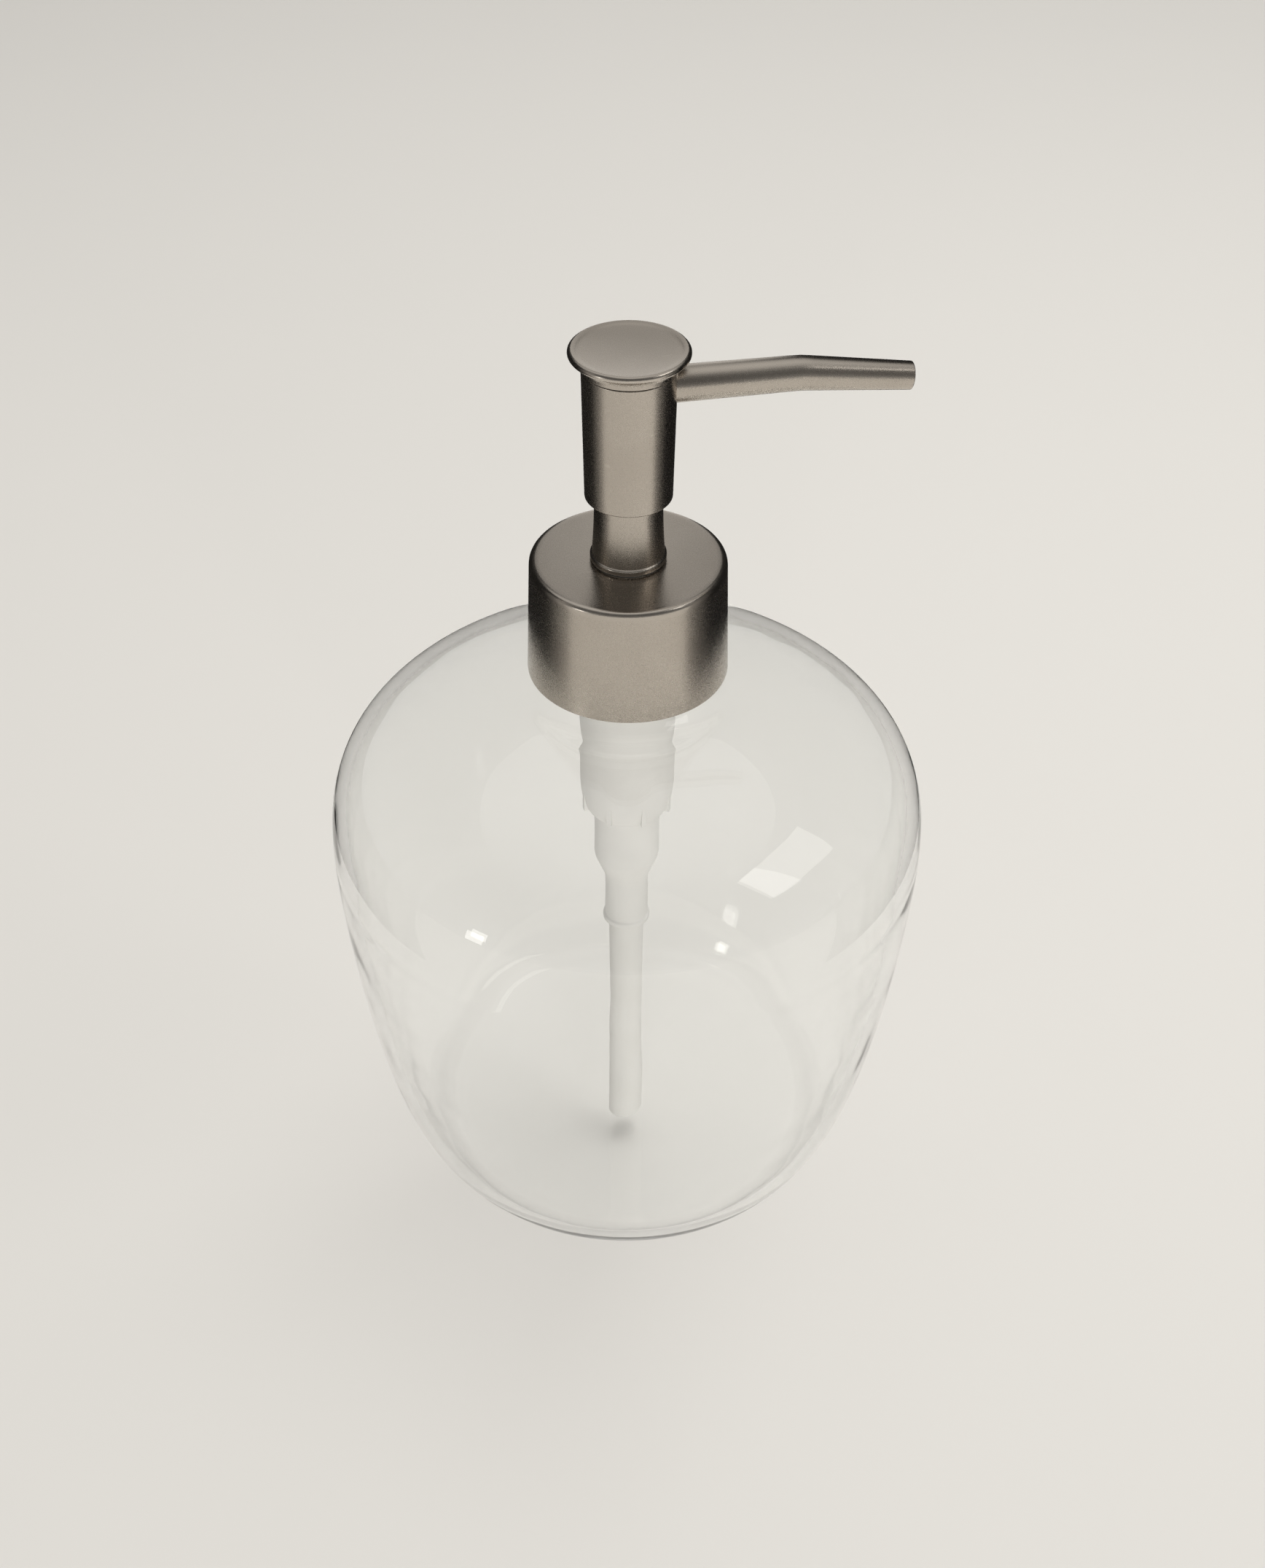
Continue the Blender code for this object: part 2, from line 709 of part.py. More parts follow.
def dip_tube(material, parent):
    path = dip_tube_path()
    outer = [TUBE_RADIUS] * len(path)
    inner = [TUBE_RADIUS - TUBE_WALL] * len(path)
    data = tube_mesh("dip_tube", path, outer, inner, 16, TUBE_CUT)
    add_object("dip_tube", data, material, parent, 0.0)


def chaplet(material, parent):
    neck_base = sleeve_base_radius - SLEEVE_WALL - GAP
    neck_top = sleeve_radius - SLEEVE_WALL - GAP
    flange_top = chaplet_flange_z + CHAPLET_FLANGE
    profile = [
        (throat_radius, chaplet_top_z),
        (neck_top, chaplet_top_z),
        (neck_base, sleeve_z),
        (neck_base, flange_top),
        (CHAPLET_FLANGE_RADIUS, flange_top),
        (CHAPLET_FLANGE_RADIUS, chaplet_flange_z),
        (chaplet_skirt_radius, chaplet_flange_z),
        (chaplet_skirt_radius, chaplet_end_z),
        (chaplet_skirt_bore, chaplet_end_z),
        (chaplet_skirt_bore, throat_z),
        (throat_radius, throat_z),
    ]
    turned("chaplet", profile, MEDIUM, material, parent, chaplet_flange_z)


def neck_sleeve(material, parent):
    bead_top = sleeve_z + SLEEVE_BEAD_HEIGHT
    top = sleeve_z + SLEEVE_HEIGHT
    bend_z = bead_top + (top - bead_top) * 0.55
    bend_radius = sleeve_radius + 0.25 * SLEEVE_FLARE
    profile = [
        (sleeve_radius - SLEEVE_WALL, top),
        (sleeve_radius, top),
        (bend_radius, bend_z),
        (sleeve_base_radius, bead_top + SHEET_EDGE),
        (bead_radius, bead_top - SHEET_EDGE),
        (bead_radius, sleeve_z + SHEET_EDGE),
        (bead_radius - SHEET_EDGE, sleeve_z),
        (sleeve_base_radius - SLEEVE_WALL, sleeve_z),
        (bend_radius - SLEEVE_WALL + SLEEVE_FLARE * 0.3, bend_z),
    ]
    turned("neck_sleeve", profile, MEDIUM, material, parent, sleeve_z)


def stem_seal(material, parent):
    profile = [
        (throat_radius, seal_z + SEAL_THICKNESS),
        (seal_radius, seal_z + SEAL_THICKNESS),
        (seal_radius, seal_z),
        (throat_radius, seal_z),
    ]
    turned("stem_seal", profile, SMALL, material, parent, seal_z)


def ball_retainer(material, parent):
    outer = lower_bore - GAP
    rim_z = retainer_z + RETAINER_THICKNESS
    profile = [
        (0.0, rim_z),
        (outer - CHAMFER, rim_z),
        (outer, rim_z - CHAMFER),
        (outer, retainer_z),
        (0.0, retainer_z),
    ]
    disc = turned("ball_retainer", profile, SMALL, material, parent, retainer_z, closed=False)
    slots = fins_mesh(
        "retainer_ports",
        RETAINER_PORTS,
        (outer * 0.45, -PORT_WIDTH / 2, retainer_z - CUT_PAST),
        (outer * 0.80, PORT_WIDTH / 2, rim_z + CUT_PAST),
        phase=math.radians(30),
    )
    combine(disc, helper_object("retainer_ports", slots, parent, 0.0), "DIFFERENCE")


def return_spring(material, parent):
    """A closed-ended coil between the ball retainer and the valve rod's flange."""
    low = spring_z + WIRE_RADIUS
    high = spring_top_z - WIRE_RADIUS
    per_turn = 12
    sides = 5
    steps = round(SPRING_TURNS * per_turn)
    pitch_wire = END_COIL_PITCH * WIRE_RADIUS
    rings = []
    for step in range(steps + 1):
        turns = step / per_turn
        from_end = min(turns, SPRING_TURNS - turns)
        if from_end < 1:
            rise = pitch_wire * from_end
            height = low + rise if turns < SPRING_TURNS / 2 else high - rise
        else:
            share = (turns - 1) / (SPRING_TURNS - 2)
            height = low + pitch_wire + (high - low - 2 * pitch_wire) * share
        angle = math.tau * turns
        centre = Vector((SPRING_RADIUS * math.cos(angle), SPRING_RADIUS * math.sin(angle), height))
        outward = Vector((math.cos(angle), math.sin(angle), 0))
        ring = []
        for side in range(sides):
            turn = math.tau * side / sides
            spot = centre + WIRE_RADIUS * (math.cos(turn) * outward + math.sin(turn) * Vector((0, 0, 1)))
            ring.append(spot - Vector((0, 0, spring_z)))
        rings.append(ring)
    bm = bmesh.new()
    made = rings_into(bm, rings)
    bm.faces.new(made[0])
    bm.faces.new(made[-1])
    add_object("return_spring", mesh_from("return_spring", bm), material, parent, spring_z)


def inlet_ball(material, parent):
    """The ball rests a gap above its cone."""
    bm = bmesh.new()
    bmesh.ops.create_icosphere(bm, subdivisions=2, radius=BALL_RADIUS)
    data = bpy.data.meshes.new("inlet_ball")
    bm.to_mesh(data)
    bm.free()
    add_object("inlet_ball", data, material, parent, ball_z)


# ---------------------------------------------------------------- plunger


def valve_rod(material, parent):
    rod_top = stem_z + ROD_TOP_LENGTH
    flange_top = rod_flange_z + ROD_FLANGE
    profile = [
        (0.0, rod_top),
        (rod_radius - CHAMFER, rod_top),
        (rod_radius, rod_top - 2 * CHAMFER),
        (rod_radius, flange_top),
        (rod_flange_radius - CHAMFER, flange_top),
        (rod_flange_radius, flange_top - CHAMFER),
        (rod_flange_radius, rod_flange_z),
        (rod_spigot_radius, rod_flange_z),
        (rod_spigot_radius, rod_flange_z - ROD_SPIGOT_LENGTH + CHAMFER),
        (rod_spigot_radius - CHAMFER, rod_flange_z - ROD_SPIGOT_LENGTH),
        (0.0, rod_flange_z - ROD_SPIGOT_LENGTH),
    ]
    rod = turned("valve_rod", profile, SMALL, material, parent, rod_flange_z, closed=False)
    flutes = fins_mesh(
        "rod_flutes",
        3,
        (rod_radius * 0.62, -FLUTE_WIDTH / 2, flange_top + CHAMFER),
        (rod_radius + CUT_PAST, FLUTE_WIDTH / 2, rod_top + CUT_PAST),
    )
    combine(rod, helper_object("rod_flutes", flutes, parent, 0.0), "DIFFERENCE")


def piston(material, parent):
    hub_outer = STEM_RADIUS + PISTON_LIP_TAPER
    hub_bore = rod_radius + GAP
    hub_top = hub_z + PISTON_HUB_HEIGHT
    top = piston_z + PISTON_HEIGHT
    waist = piston_radius - PISTON_RELIEF
    web_low = hub_z + CHAMFER
    web_top = web_low + PISTON_WEB
    lip_bore = piston_cup_bore + PISTON_LIP_TAPER
    root_bore = piston_cup_bore - PISTON_LIP_TAPER
    profile = [
        (lip_bore, top),
        (piston_radius, top),
        (piston_radius, top - PISTON_LIP_HEIGHT),
        (waist, top - 2 * PISTON_LIP_HEIGHT),
        (waist, piston_z + 2 * PISTON_LIP_HEIGHT),
        (piston_radius, piston_z + PISTON_LIP_HEIGHT),
        (piston_radius, piston_z),
        (lip_bore, piston_z),
        (root_bore, web_low),
        (hub_outer, web_low),
        (hub_outer, hub_z),
        (hub_bore, hub_z),
        (hub_bore, hub_top),
        (hub_outer, hub_top),
        (hub_outer, web_top),
        (root_bore, web_top),
    ]
    turned("piston", profile, SMALL + 4, material, parent, piston_z)


def stem(material, parent):
    stop = chaplet_skirt_bore - STEM_FOOT_CLEARANCE
    profile = [
        (stem_bore, stem_top_z),
        (STEM_RADIUS - CHAMFER, stem_top_z),
        (STEM_RADIUS, stem_top_z - CHAMFER),
        (STEM_RADIUS, stem_stop_z + STEM_FOOT_HEIGHT),
        (stop, stem_stop_z + STEM_FOOT_HEIGHT),
        (stop, stem_stop_z),
        (STEM_RADIUS, stem_stop_z),
        (STEM_RADIUS, stem_z),
        (stem_bore, stem_z),
    ]
    turned("stem", profile, SMALL, material, parent, stem_top_z)


# ---------------------------------------------------------------- press head


def actuator_core(material, parent):
    top = core_z + CORE_HEIGHT
    socket = STEM_RADIUS + GAP
    duct_top = spout_z + DUCT_RADIUS
    profile = [
        (0.0, top),
        (core_radius - CHAMFER, top),
        (core_radius, top - CHAMFER),
        (core_radius, core_z + CHAMFER),
        (core_radius - CHAMFER, core_z),
        (socket, core_z),
        (socket, core_z + SOCKET_DEPTH),
        (DUCT_RADIUS, core_z + SOCKET_DEPTH),
        (DUCT_RADIUS, duct_top),
        (0.0, duct_top),
    ]
    core = turned("actuator_core", profile, MEDIUM, material, parent, core_z, closed=False)
    seat_x = core_radius - LINER_SEAT
    stepped = [
        (0.0, core_radius + CUT_PAST),
        (liner_root_radius + TUBE_FIT, core_radius + CUT_PAST),
        (liner_root_radius + TUBE_FIT, seat_x),
        (DUCT_RADIUS * 0.9, seat_x),
        (DUCT_RADIUS * 0.9, 0.0),
        (0.0, 0.0),
    ]
    cutter = helper_object("spout_duct", turned_mesh("spout_duct", stepped, 16, False), parent, spout_z)
    cutter.rotation_euler.y = math.pi / 2
    combine(core, cutter, "DIFFERENCE")


def head_barrel(material, parent):
    edge = SHEET_EDGE / 2
    profile = [
        (barrel_top_radius - BARREL_WALL, barrel_top_z),
        (barrel_top_radius, barrel_top_z),
        (barrel_radius, head_z + edge),
        (barrel_radius - edge, head_z),
        (barrel_radius - BARREL_WALL, head_z),
    ]
    barrel = turned("head_barrel", profile, FINE, material, parent, head_z)
    hole = rod_mesh(
        "spout_hole",
        SPOUT_ROOT_RADIUS + GAP,
        (core_radius - CUT_PAST, 0, spout_z),
        (barrel_top_radius + CUT_PAST, 0, spout_z),
        MEDIUM,
    )
    combine(barrel, helper_object("spout_hole", hole, parent, 0.0), "DIFFERENCE")


def head_cap(material, parent):
    rim_top = cap_z + CAP_HEIGHT
    rim_low = rim_top - CAP_RIM
    skirt = barrel_top_radius + CAP_COVE
    skirt_bore = skirt - CAP_SKIRT_WALL
    inner_top = rim_top - CAP_DISH - CAP_SHEET
    rim_half = CAP_RIM / 2
    rim_round = quarter((cap_radius - rim_half, rim_top - rim_half), (rim_half, rim_half), 90, 3)
    dish = [(cap_radius * share, rim_top - CAP_DISH * (1 - share**2.2)) for share in (0.35, 0.7)]
    cove = []
    for step in range(4):
        turn = math.pi / 2 * step / 3
        reach = (cap_radius - rim_half * 0.8 - skirt) * (1 - math.sin(turn))
        cove.append((skirt + reach, rim_low - (rim_low - cap_z - SHEET_EDGE) * (1 - math.cos(turn))))
    profile = (
        [(0.0, rim_top - CAP_DISH)]
        + dish
        + rim_round
        + cove
        + [(skirt, cap_z), (skirt_bore, cap_z), (skirt_bore, inner_top), (0.0, inner_top)]
    )
    turned("head_cap", profile, FINE, material, parent, cap_z, closed=False)


def spout_path(start, reach, steps):
    """Centreline in the XZ plane: level to the bend, a short arc, then down to the tip."""
    half = SPOUT_BEND_SWEEP * math.tan(abs(SPOUT_SLOPE) / 2)
    arc_start = SPOUT_BEND_AT - half
    path = [(start, 0.0, spout_z), ((start + arc_start) / 2, 0.0, spout_z)]
    for step in range(steps + 1):
        turn = abs(SPOUT_SLOPE) * step / steps
        drop = SPOUT_BEND_SWEEP * (1 - math.cos(turn))
        path.append((arc_start + SPOUT_BEND_SWEEP * math.sin(turn), 0.0, spout_z - drop))
    last_x, _, last_z = path[-1]
    for share in (0.5, 1.0):
        run = (reach - last_x) * share
        path.append((last_x + run, 0.0, last_z + run * math.tan(SPOUT_SLOPE)))
    return path


def spout_radius(distance):
    """Outer radius of the spout at a distance from the bottle's axis."""
    if distance < SPOUT_BEND_AT:
        share = max(distance - barrel_radius, 0.0) / (SPOUT_BEND_AT - barrel_radius)
        return SPOUT_ROOT_RADIUS + (SPOUT_BEND_RADIUS - SPOUT_ROOT_RADIUS) * share
    share = (distance - SPOUT_BEND_AT) / (SPOUT_REACH - SPOUT_BEND_AT)
    return SPOUT_BEND_RADIUS + (SPOUT_TIP_RADIUS - SPOUT_BEND_RADIUS) * share


def spout(material, parent):
    path = spout_path(core_radius + GAP, SPOUT_REACH, 3)
    outer = [spout_radius(x) for x, _, _ in path]
    inner = [radius - SPOUT_WALL for radius in outer]
    add_object("spout", tube_mesh("spout", path, outer, inner, 20), material, parent, 0.0)


def spout_liner(material, parent):
    path = spout_path(core_radius - LINER_SEAT + GAP, SPOUT_REACH - LINER_SHORT, 3)
    outer = [spout_radius(x) - SPOUT_WALL - GAP for x, _, _ in path]
    inner = [radius - LINER_WALL for radius in outer]
    data = tube_mesh("spout_liner", path, outer, inner, 16)
    add_object("spout_liner", data, material, parent, 0.0)


# ---------------------------------------------------------------- assembly


def build():
    clear_scene()
    glass = finish("clear_glass", (0.93, 0.95, 0.94), 0.02, alpha=0.35)
    nickel = finish("satin_nickel", (0.50, 0.47, 0.43), 0.36, metallic=1.0)
    clear_plastic = finish("natural_polypropylene", (0.82, 0.83, 0.80), 0.40)
    tube_plastic = finish("natural_polyethylene", (0.86, 0.85, 0.79), 0.45)
    white_plastic = finish("white_polypropylene", (0.85, 0.85, 0.83), 0.45)
    soft = finish("soft_seal", (0.80, 0.79, 0.76), 0.60)
    steel = finish("spring_steel", (0.62, 0.62, 0.61), 0.25, metallic=1.0)

    root = empty("bottle_base", 0.0)
    pump = empty("pump_lift_axis", mouth_z, root)
    closure = empty("closure_turn_axis", collar_top_z, pump)
    rod = empty("head_press_axis", rod_flange_z, pump)
    slip = empty("piston_slip_axis", piston_z, rod)
    head = empty("head_swivel_axis", head_z, rod)
    ball = empty("ball_lift_axis", ball_z, pump)

    glass_bottle(glass, root)
    collar_shell(nickel, closure)
    closure_insert(white_plastic, closure)
    neck_gasket(soft, pump)
    housing(clear_plastic, pump)
    dip_tube(tube_plastic, pump)
    chaplet(white_plastic, pump)
    neck_sleeve(nickel, pump)
    stem_seal(soft, pump)
    ball_retainer(white_plastic, pump)
    return_spring(steel, pump)
    inlet_ball(steel, ball)
    valve_rod(white_plastic, rod)
    piston(soft, slip)
    stem(white_plastic, head)
    actuator_core(white_plastic, head)
    head_barrel(nickel, head)
    head_cap(nickel, head)
    spout(nickel, head)
    spout_liner(clear_plastic, head)


build()
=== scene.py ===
# %% [markdown]
# # A soap dispenser in glass and blasted nickel
# The real object is a round clear glass bottle. A metal collar screws onto its neck and
# clamps a small plunger pump, whose housing and dip tube show through the glass.
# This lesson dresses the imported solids: each piece is made again as a fine surface, gets
# a finish of its own, and rides on the body that it belongs to.

import math

import bmesh
import bpy
from mathutils import Matrix, Vector


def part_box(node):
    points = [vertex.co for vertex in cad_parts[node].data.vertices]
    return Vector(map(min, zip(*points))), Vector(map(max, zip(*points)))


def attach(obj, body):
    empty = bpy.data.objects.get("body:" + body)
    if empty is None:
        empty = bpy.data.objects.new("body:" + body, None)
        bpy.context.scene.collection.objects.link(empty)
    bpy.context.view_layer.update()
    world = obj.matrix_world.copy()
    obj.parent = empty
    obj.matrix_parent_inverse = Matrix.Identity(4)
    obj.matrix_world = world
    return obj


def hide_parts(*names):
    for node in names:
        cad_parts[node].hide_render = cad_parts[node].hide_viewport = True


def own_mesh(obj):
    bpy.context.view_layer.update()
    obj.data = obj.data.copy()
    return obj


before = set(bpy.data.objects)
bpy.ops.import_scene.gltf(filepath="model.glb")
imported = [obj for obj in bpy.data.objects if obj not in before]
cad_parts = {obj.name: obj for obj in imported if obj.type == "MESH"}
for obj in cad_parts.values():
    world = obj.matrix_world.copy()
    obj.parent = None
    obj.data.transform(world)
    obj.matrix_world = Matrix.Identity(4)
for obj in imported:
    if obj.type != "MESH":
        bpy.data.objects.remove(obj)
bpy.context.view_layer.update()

# %% [markdown]
# ## Sums with sockets
# Shader and Geometry Nodes trees are easier to read as sums than as a list of links.
# A Wire stands for one output socket. Adding, multiplying or comparing Wires adds the
# Math node that does it. A Bench holds a tree, and its one method, node, adds any other
# node: first its settings, then the values or links of its sockets.


# %% Wires and the bench
class Wire:
    """An output socket that takes part in ordinary sums."""

    def __init__(self, bench, socket):
        self.bench = bench
        self.socket = socket

    def maths(self, operation, *values):
        wires = dict(enumerate(values))
        return self.bench.node("ShaderNodeMath", {"operation": operation}, wires)

    def __add__(self, other):
        return self.maths("ADD", self, other)

    def __sub__(self, other):
        return self.maths("SUBTRACT", self, other)

    def __rsub__(self, other):
        return self.maths("SUBTRACT", other, self)

    def __mul__(self, other):
        return self.maths("MULTIPLY", self, other)

    def __truediv__(self, other):
        return self.maths("DIVIDE", self, other)

    def __gt__(self, other):
        return self.maths("GREATER_THAN", self, other)

    def least(self, other):
        return self.maths("MINIMUM", self, other)

    def most(self, other):
        return self.maths("MAXIMUM", self, other)

    def smooth(self, low, high):
        """0 below low, 1 above high, and an S curve between them."""
        settings = {"interpolation_type": "SMOOTHSTEP"}
        wires = {"Value": self, "From Min": low, "From Max": high}
        return self.bench.node("ShaderNodeMapRange", settings, wires)

    __radd__ = __add__
    __rmul__ = __mul__


class Bench:
    """A node tree, with one method that adds a node, sets it up and wires it."""

    def __init__(self, tree):
        self.tree = tree

    def node(self, kind, settings=None, wires=None, out=0):
        made = self.tree.nodes.new(kind)
        for name, value in (settings or {}).items():
            setattr(made, name, value)
        for name, value in (wires or {}).items():
            socket = self.find(made.inputs, name)
            if isinstance(value, Wire):
                self.tree.links.new(value.socket, socket)
            else:
                socket.default_value = value
        return Wire(self, self.find(made.outputs, out))

    @staticmethod
    def find(sockets, name):
        """A socket by its number, its identifier, or the name of one in use."""
        if isinstance(name, int):
            return sockets[name]
        for socket in sockets:
            if name == socket.identifier or (socket.enabled and name == socket.name):
                return socket
        raise KeyError(name)


# %% [markdown]
# ## A stack of rings
# Nearly every piece here was turned, drawn or moulded round an axis: the blown bottle,
# the spun collar, the tapered spout, the tubes. All of them are stacks of rings. Each
# ring has a centre and two arrows that reach from it to the rim, so a ring can be
# round, tilted, or shrunk to a point. One Geometry Nodes tree makes the skin: it lays
# out a grid, sends each row to a ring, and welds the seam. A spin or a bevelled curve
# could do one kind of piece each; the rings do them all, bends and blade cuts too.


# %% The ring tree
def geometry_tree(name, inputs):
    """A new Geometry Nodes tree with named inputs: {name: (socket type, default)}."""
    tree = bpy.data.node_groups.new(name, "GeometryNodeTree")
    tree.interface.new_socket("Geometry", in_out="OUTPUT", socket_type="NodeSocketGeometry")
    tree.interface.new_socket("Geometry", in_out="INPUT", socket_type="NodeSocketGeometry")
    for label, (kind, value) in inputs.items():
        socket = tree.interface.new_socket(label, in_out="INPUT", socket_type=kind)
        if value is not None:
            socket.default_value = value
    bench = Bench(tree)
    source = tree.nodes.new("NodeGroupInput")
    given = {socket.name: Wire(bench, socket) for socket in source.outputs if socket.name}
    return bench, given


def end_tree(bench, shape, material):
    """Every tree ends in plain geometry with its finish on it."""
    plain = bench.node("GeometryNodeRealizeInstances", None, {"Geometry": shape})
    painted = bench.node("GeometryNodeSetMaterial", None, {"Geometry": plain, "Material": material})
    target = bench.tree.nodes.new("NodeGroupOutput")
    bench.tree.links.new(painted.socket, target.inputs[0])


def vector(bench, operation, first, second):
    label = "Scale" if operation == "SCALE" else 1
    wires = {0: first, label: second}
    return bench.node("ShaderNodeVectorMath", {"operation": operation}, wires)


def named(bench, label, kind="FLOAT_VECTOR"):
    return bench.node("GeometryNodeInputNamedAttribute", {"data_type": kind}, {"Name": label})


def grid_rows(bench, rows, sides):
    """A grid of rows by sides + 1, with the number of its row and its turn round the ring."""
    wires = {"Size X": 1.0, "Size Y": 1.0, "Vertices X": rows, "Vertices Y": sides + 1}
    grid = bench.node("GeometryNodeMeshGrid", None, wires)
    index = bench.node("GeometryNodeInputIndex")
    row = ((index + 0.5) / (sides + 1)).maths("FLOOR", (index + 0.5) / (sides + 1))
    turn = (index - row * (sides + 1)) * math.tau / sides
    return grid, row, turn


WELD = 1e-6

ring_inputs = {"Sides": ("NodeSocketInt", 96), "Finish": ("NodeSocketMaterial", None)}
bench, given = geometry_tree("ring stack", ring_inputs)
stack = given["Geometry"]
rings = bench.node(
    "GeometryNodeAttributeDomainSize", {"component": "MESH"}, {"Geometry": stack}, "Point Count"
)
grid, row, turn = grid_rows(bench, rings, given["Sides"])


def at_ring(value, kind="FLOAT_VECTOR"):
    wires = {"Geometry": stack, "Value": value, "Index": row}
    return bench.node("GeometryNodeSampleIndex", {"data_type": kind}, wires)


centre = at_ring(bench.node("GeometryNodeInputPosition"))
across = vector(bench, "SCALE", at_ring(named(bench, "across")), turn.maths("COSINE", turn))
upward = vector(bench, "SCALE", at_ring(named(bench, "upward")), turn.maths("SINE", turn))
rim = vector(bench, "ADD", centre, vector(bench, "ADD", across, upward))
skin = bench.node("GeometryNodeSetPosition", None, {"Geometry": grid, "Position": rim})
# Each ring's share of edge wear and painted highlight is carried to its points.
skin = bench.node(
    "GeometryNodeStoreNamedAttribute",
    {"data_type": "FLOAT", "domain": "POINT"},
    {"Geometry": skin, "Name": "edge_wear_and_highlight", "Value": at_ring(named(bench, "edge_wear_and_highlight", "FLOAT"), "FLOAT")},
)
skin = bench.node("GeometryNodeMergeByDistance", None, {"Geometry": skin, "Distance": WELD})
end_tree(bench, skin, given["Finish"])
ring_tree = bench.tree
print("ring tree:", len(ring_tree.nodes), "nodes")

# %% [markdown]
# ## From a tree to a finished piece
# A modifier's input is set by its socket's identifier before the object is evaluated.
# The evaluated result is then copied to a plain mesh. Each piece is welded, its faces
# are turned outwards, and it is shaded smooth with its true corners kept sharp.
# dress puts the piece on its body, hides the solid that it stands for, and prints how far it is from that
# solid's box.


# %% Grow, tidy and dress
SHARP = math.radians(38)


def grow(name, tree, source=None, **inputs):
    """Runs a Geometry Nodes tree and returns its result as a plain mesh object."""
    start = bpy.data.objects.new(name + ".start", source or bpy.data.meshes.new(name + ".start"))
    bpy.context.scene.collection.objects.link(start)
    modifier = start.modifiers.new("tree", "NODES")
    modifier.node_group = tree
    for socket in tree.interface.items_tree:
        if socket.in_out == "INPUT" and socket.name in inputs:
            modifier[socket.identifier] = inputs[socket.name]
    return freeze(name, start)


def freeze(name, start):
    """Copies an evaluated object to a plain mesh, and removes the original."""
    graph = bpy.context.evaluated_depsgraph_get()
    data = bpy.data.meshes.new_from_object(start.evaluated_get(graph), depsgraph=graph)
    start.modifiers.clear()
    bpy.data.objects.remove(start)
    piece = bpy.data.objects.new(name, data)
    bpy.context.scene.collection.objects.link(piece)
    return piece


def tidy(piece, sharp=SHARP):
    """Welds a closed mesh, turns its faces outwards and shades it."""
    bm = bmesh.new()
    bm.from_mesh(piece.data)
    bmesh.ops.remove_doubles(bm, verts=bm.verts, dist=WELD)
    bmesh.ops.dissolve_degenerate(bm, edges=bm.edges, dist=WELD / 10)
    bmesh.ops.recalc_face_normals(bm, faces=bm.faces)
    if bm.calc_volume(signed=True) < 0:
        bmesh.ops.reverse_faces(bm, faces=bm.faces)
    bm.to_mesh(piece.data)
    bm.free()
    piece.data.shade_smooth()
    piece.data.set_sharp_from_angle(angle=sharp)
    return piece


def dress(piece, body, slot, *solids):
    """Puts a finished piece on its body, in place of its solids."""
    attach(piece, body)
    if solids:
        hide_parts(*solids)
    piece.data.calc_loop_triangles()
    low = Vector(min(v.co[i] for v in piece.data.vertices) for i in range(3))
    high = Vector(max(v.co[i] for v in piece.data.vertices) for i in range(3))
    apart = 0.0
    if len(solids) == 1:
        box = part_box(solids[0])
        apart = max(abs(a - b) for a, b in zip([*low, *high], [*box[0], *box[1]])) * 1000
    print(f"{piece.name}: {len(piece.data.loop_triangles)} triangles, {apart:.2f} mm from its solid's box")
    return piece


# %% [markdown]
# ## Profiles
# A turned piece is drawn as a list of corners, each (radius, height), as on a lathe
# drawing. A third number rounds that corner. No real edge is perfectly sharp, and it is
# the small rounded edges that catch the light. rounded adds the arc and a close ring on
# each side of it, which keeps the shading of the flats flat. The share of roundness is
# kept as an attribute of each point. Handling polishes edges first, and the nickel reads
# the same share to paint a lighter highlight on every rounded edge.


# %% Round the corners, and turn
def rounded(corners, closed=True, steps=4):
    """Points (radius, height, edge wear and painted highlight) of a profile with its marked corners rounded.
    """
    points = []
    count = len(corners)
    for index, corner in enumerate(corners):
        here = Vector(corner[:2])
        if len(corner) < 3 or (not closed and index in (0, count - 1)):
            points.append((*here, 0.0))
            continue
        before = Vector(corners[index - 1][:2]) - here
        after = Vector(corners[(index + 1) % count][:2]) - here
        trim = min(corner[2], 0.45 * before.length, 0.45 * after.length)
        start = here + before.normalized() * trim
        end = here + after.normalized() * trim
        if before.length > 4 * trim:
            points.append((*(here + before.normalized() * 1.7 * trim), 0.0))
        for step in range(steps + 1):
            share = step / steps
            spot = start * (1 - share) ** 2 + here * 2 * share * (1 - share) + end * share**2
            # The middle of each arc gets the most edge wear and painted highlight.
            points.append((*spot, math.sin(math.pi * (0.15 + 0.7 * share))))
        if after.length > 4 * trim:
            points.append((*(here + after.normalized() * 1.7 * trim), 0.0))
    return points + points[:1] if closed else points


def on_axis(height):
    """The path of a turned piece: straight up its axis."""
    return Vector((0, 0, height)), Vector((1, 0, 0)), Vector((0, 1, 0))


def ring_stack(name, points, finish, sides=96, path=on_axis, radial=0, cut=None):
    """A piece from (radius, height, edge wear and painted highlight) points. Another path bends its axis."""
    data = bpy.data.meshes.new(name + ".rings")
    frames = [path(point[1 - radial]) for point in points]
    data.from_pydata([spot for spot, _, _ in frames], [], [])
    arrows = {"across": [], "upward": []}
    for point, (_, first, second) in zip(points, frames):
        arrows["across"] += [*(first * point[radial])]
        arrows["upward"] += [*(second * point[radial])]
    if cut:
        cut(data, arrows, points)
    for label, values in arrows.items():
        data.attributes.new(label, "FLOAT_VECTOR", "POINT").data.foreach_set("vector", values)
    # The share of edge wear and painted highlight of each point.
    edge_wear_and_highlight = data.attributes.new("edge_wear_and_highlight", "FLOAT", "POINT")
    edge_wear_and_highlight.data.foreach_set("value", [point[2] for point in points])
    return tidy(grow(name, ring_tree, data, Sides=sides, Finish=finish))


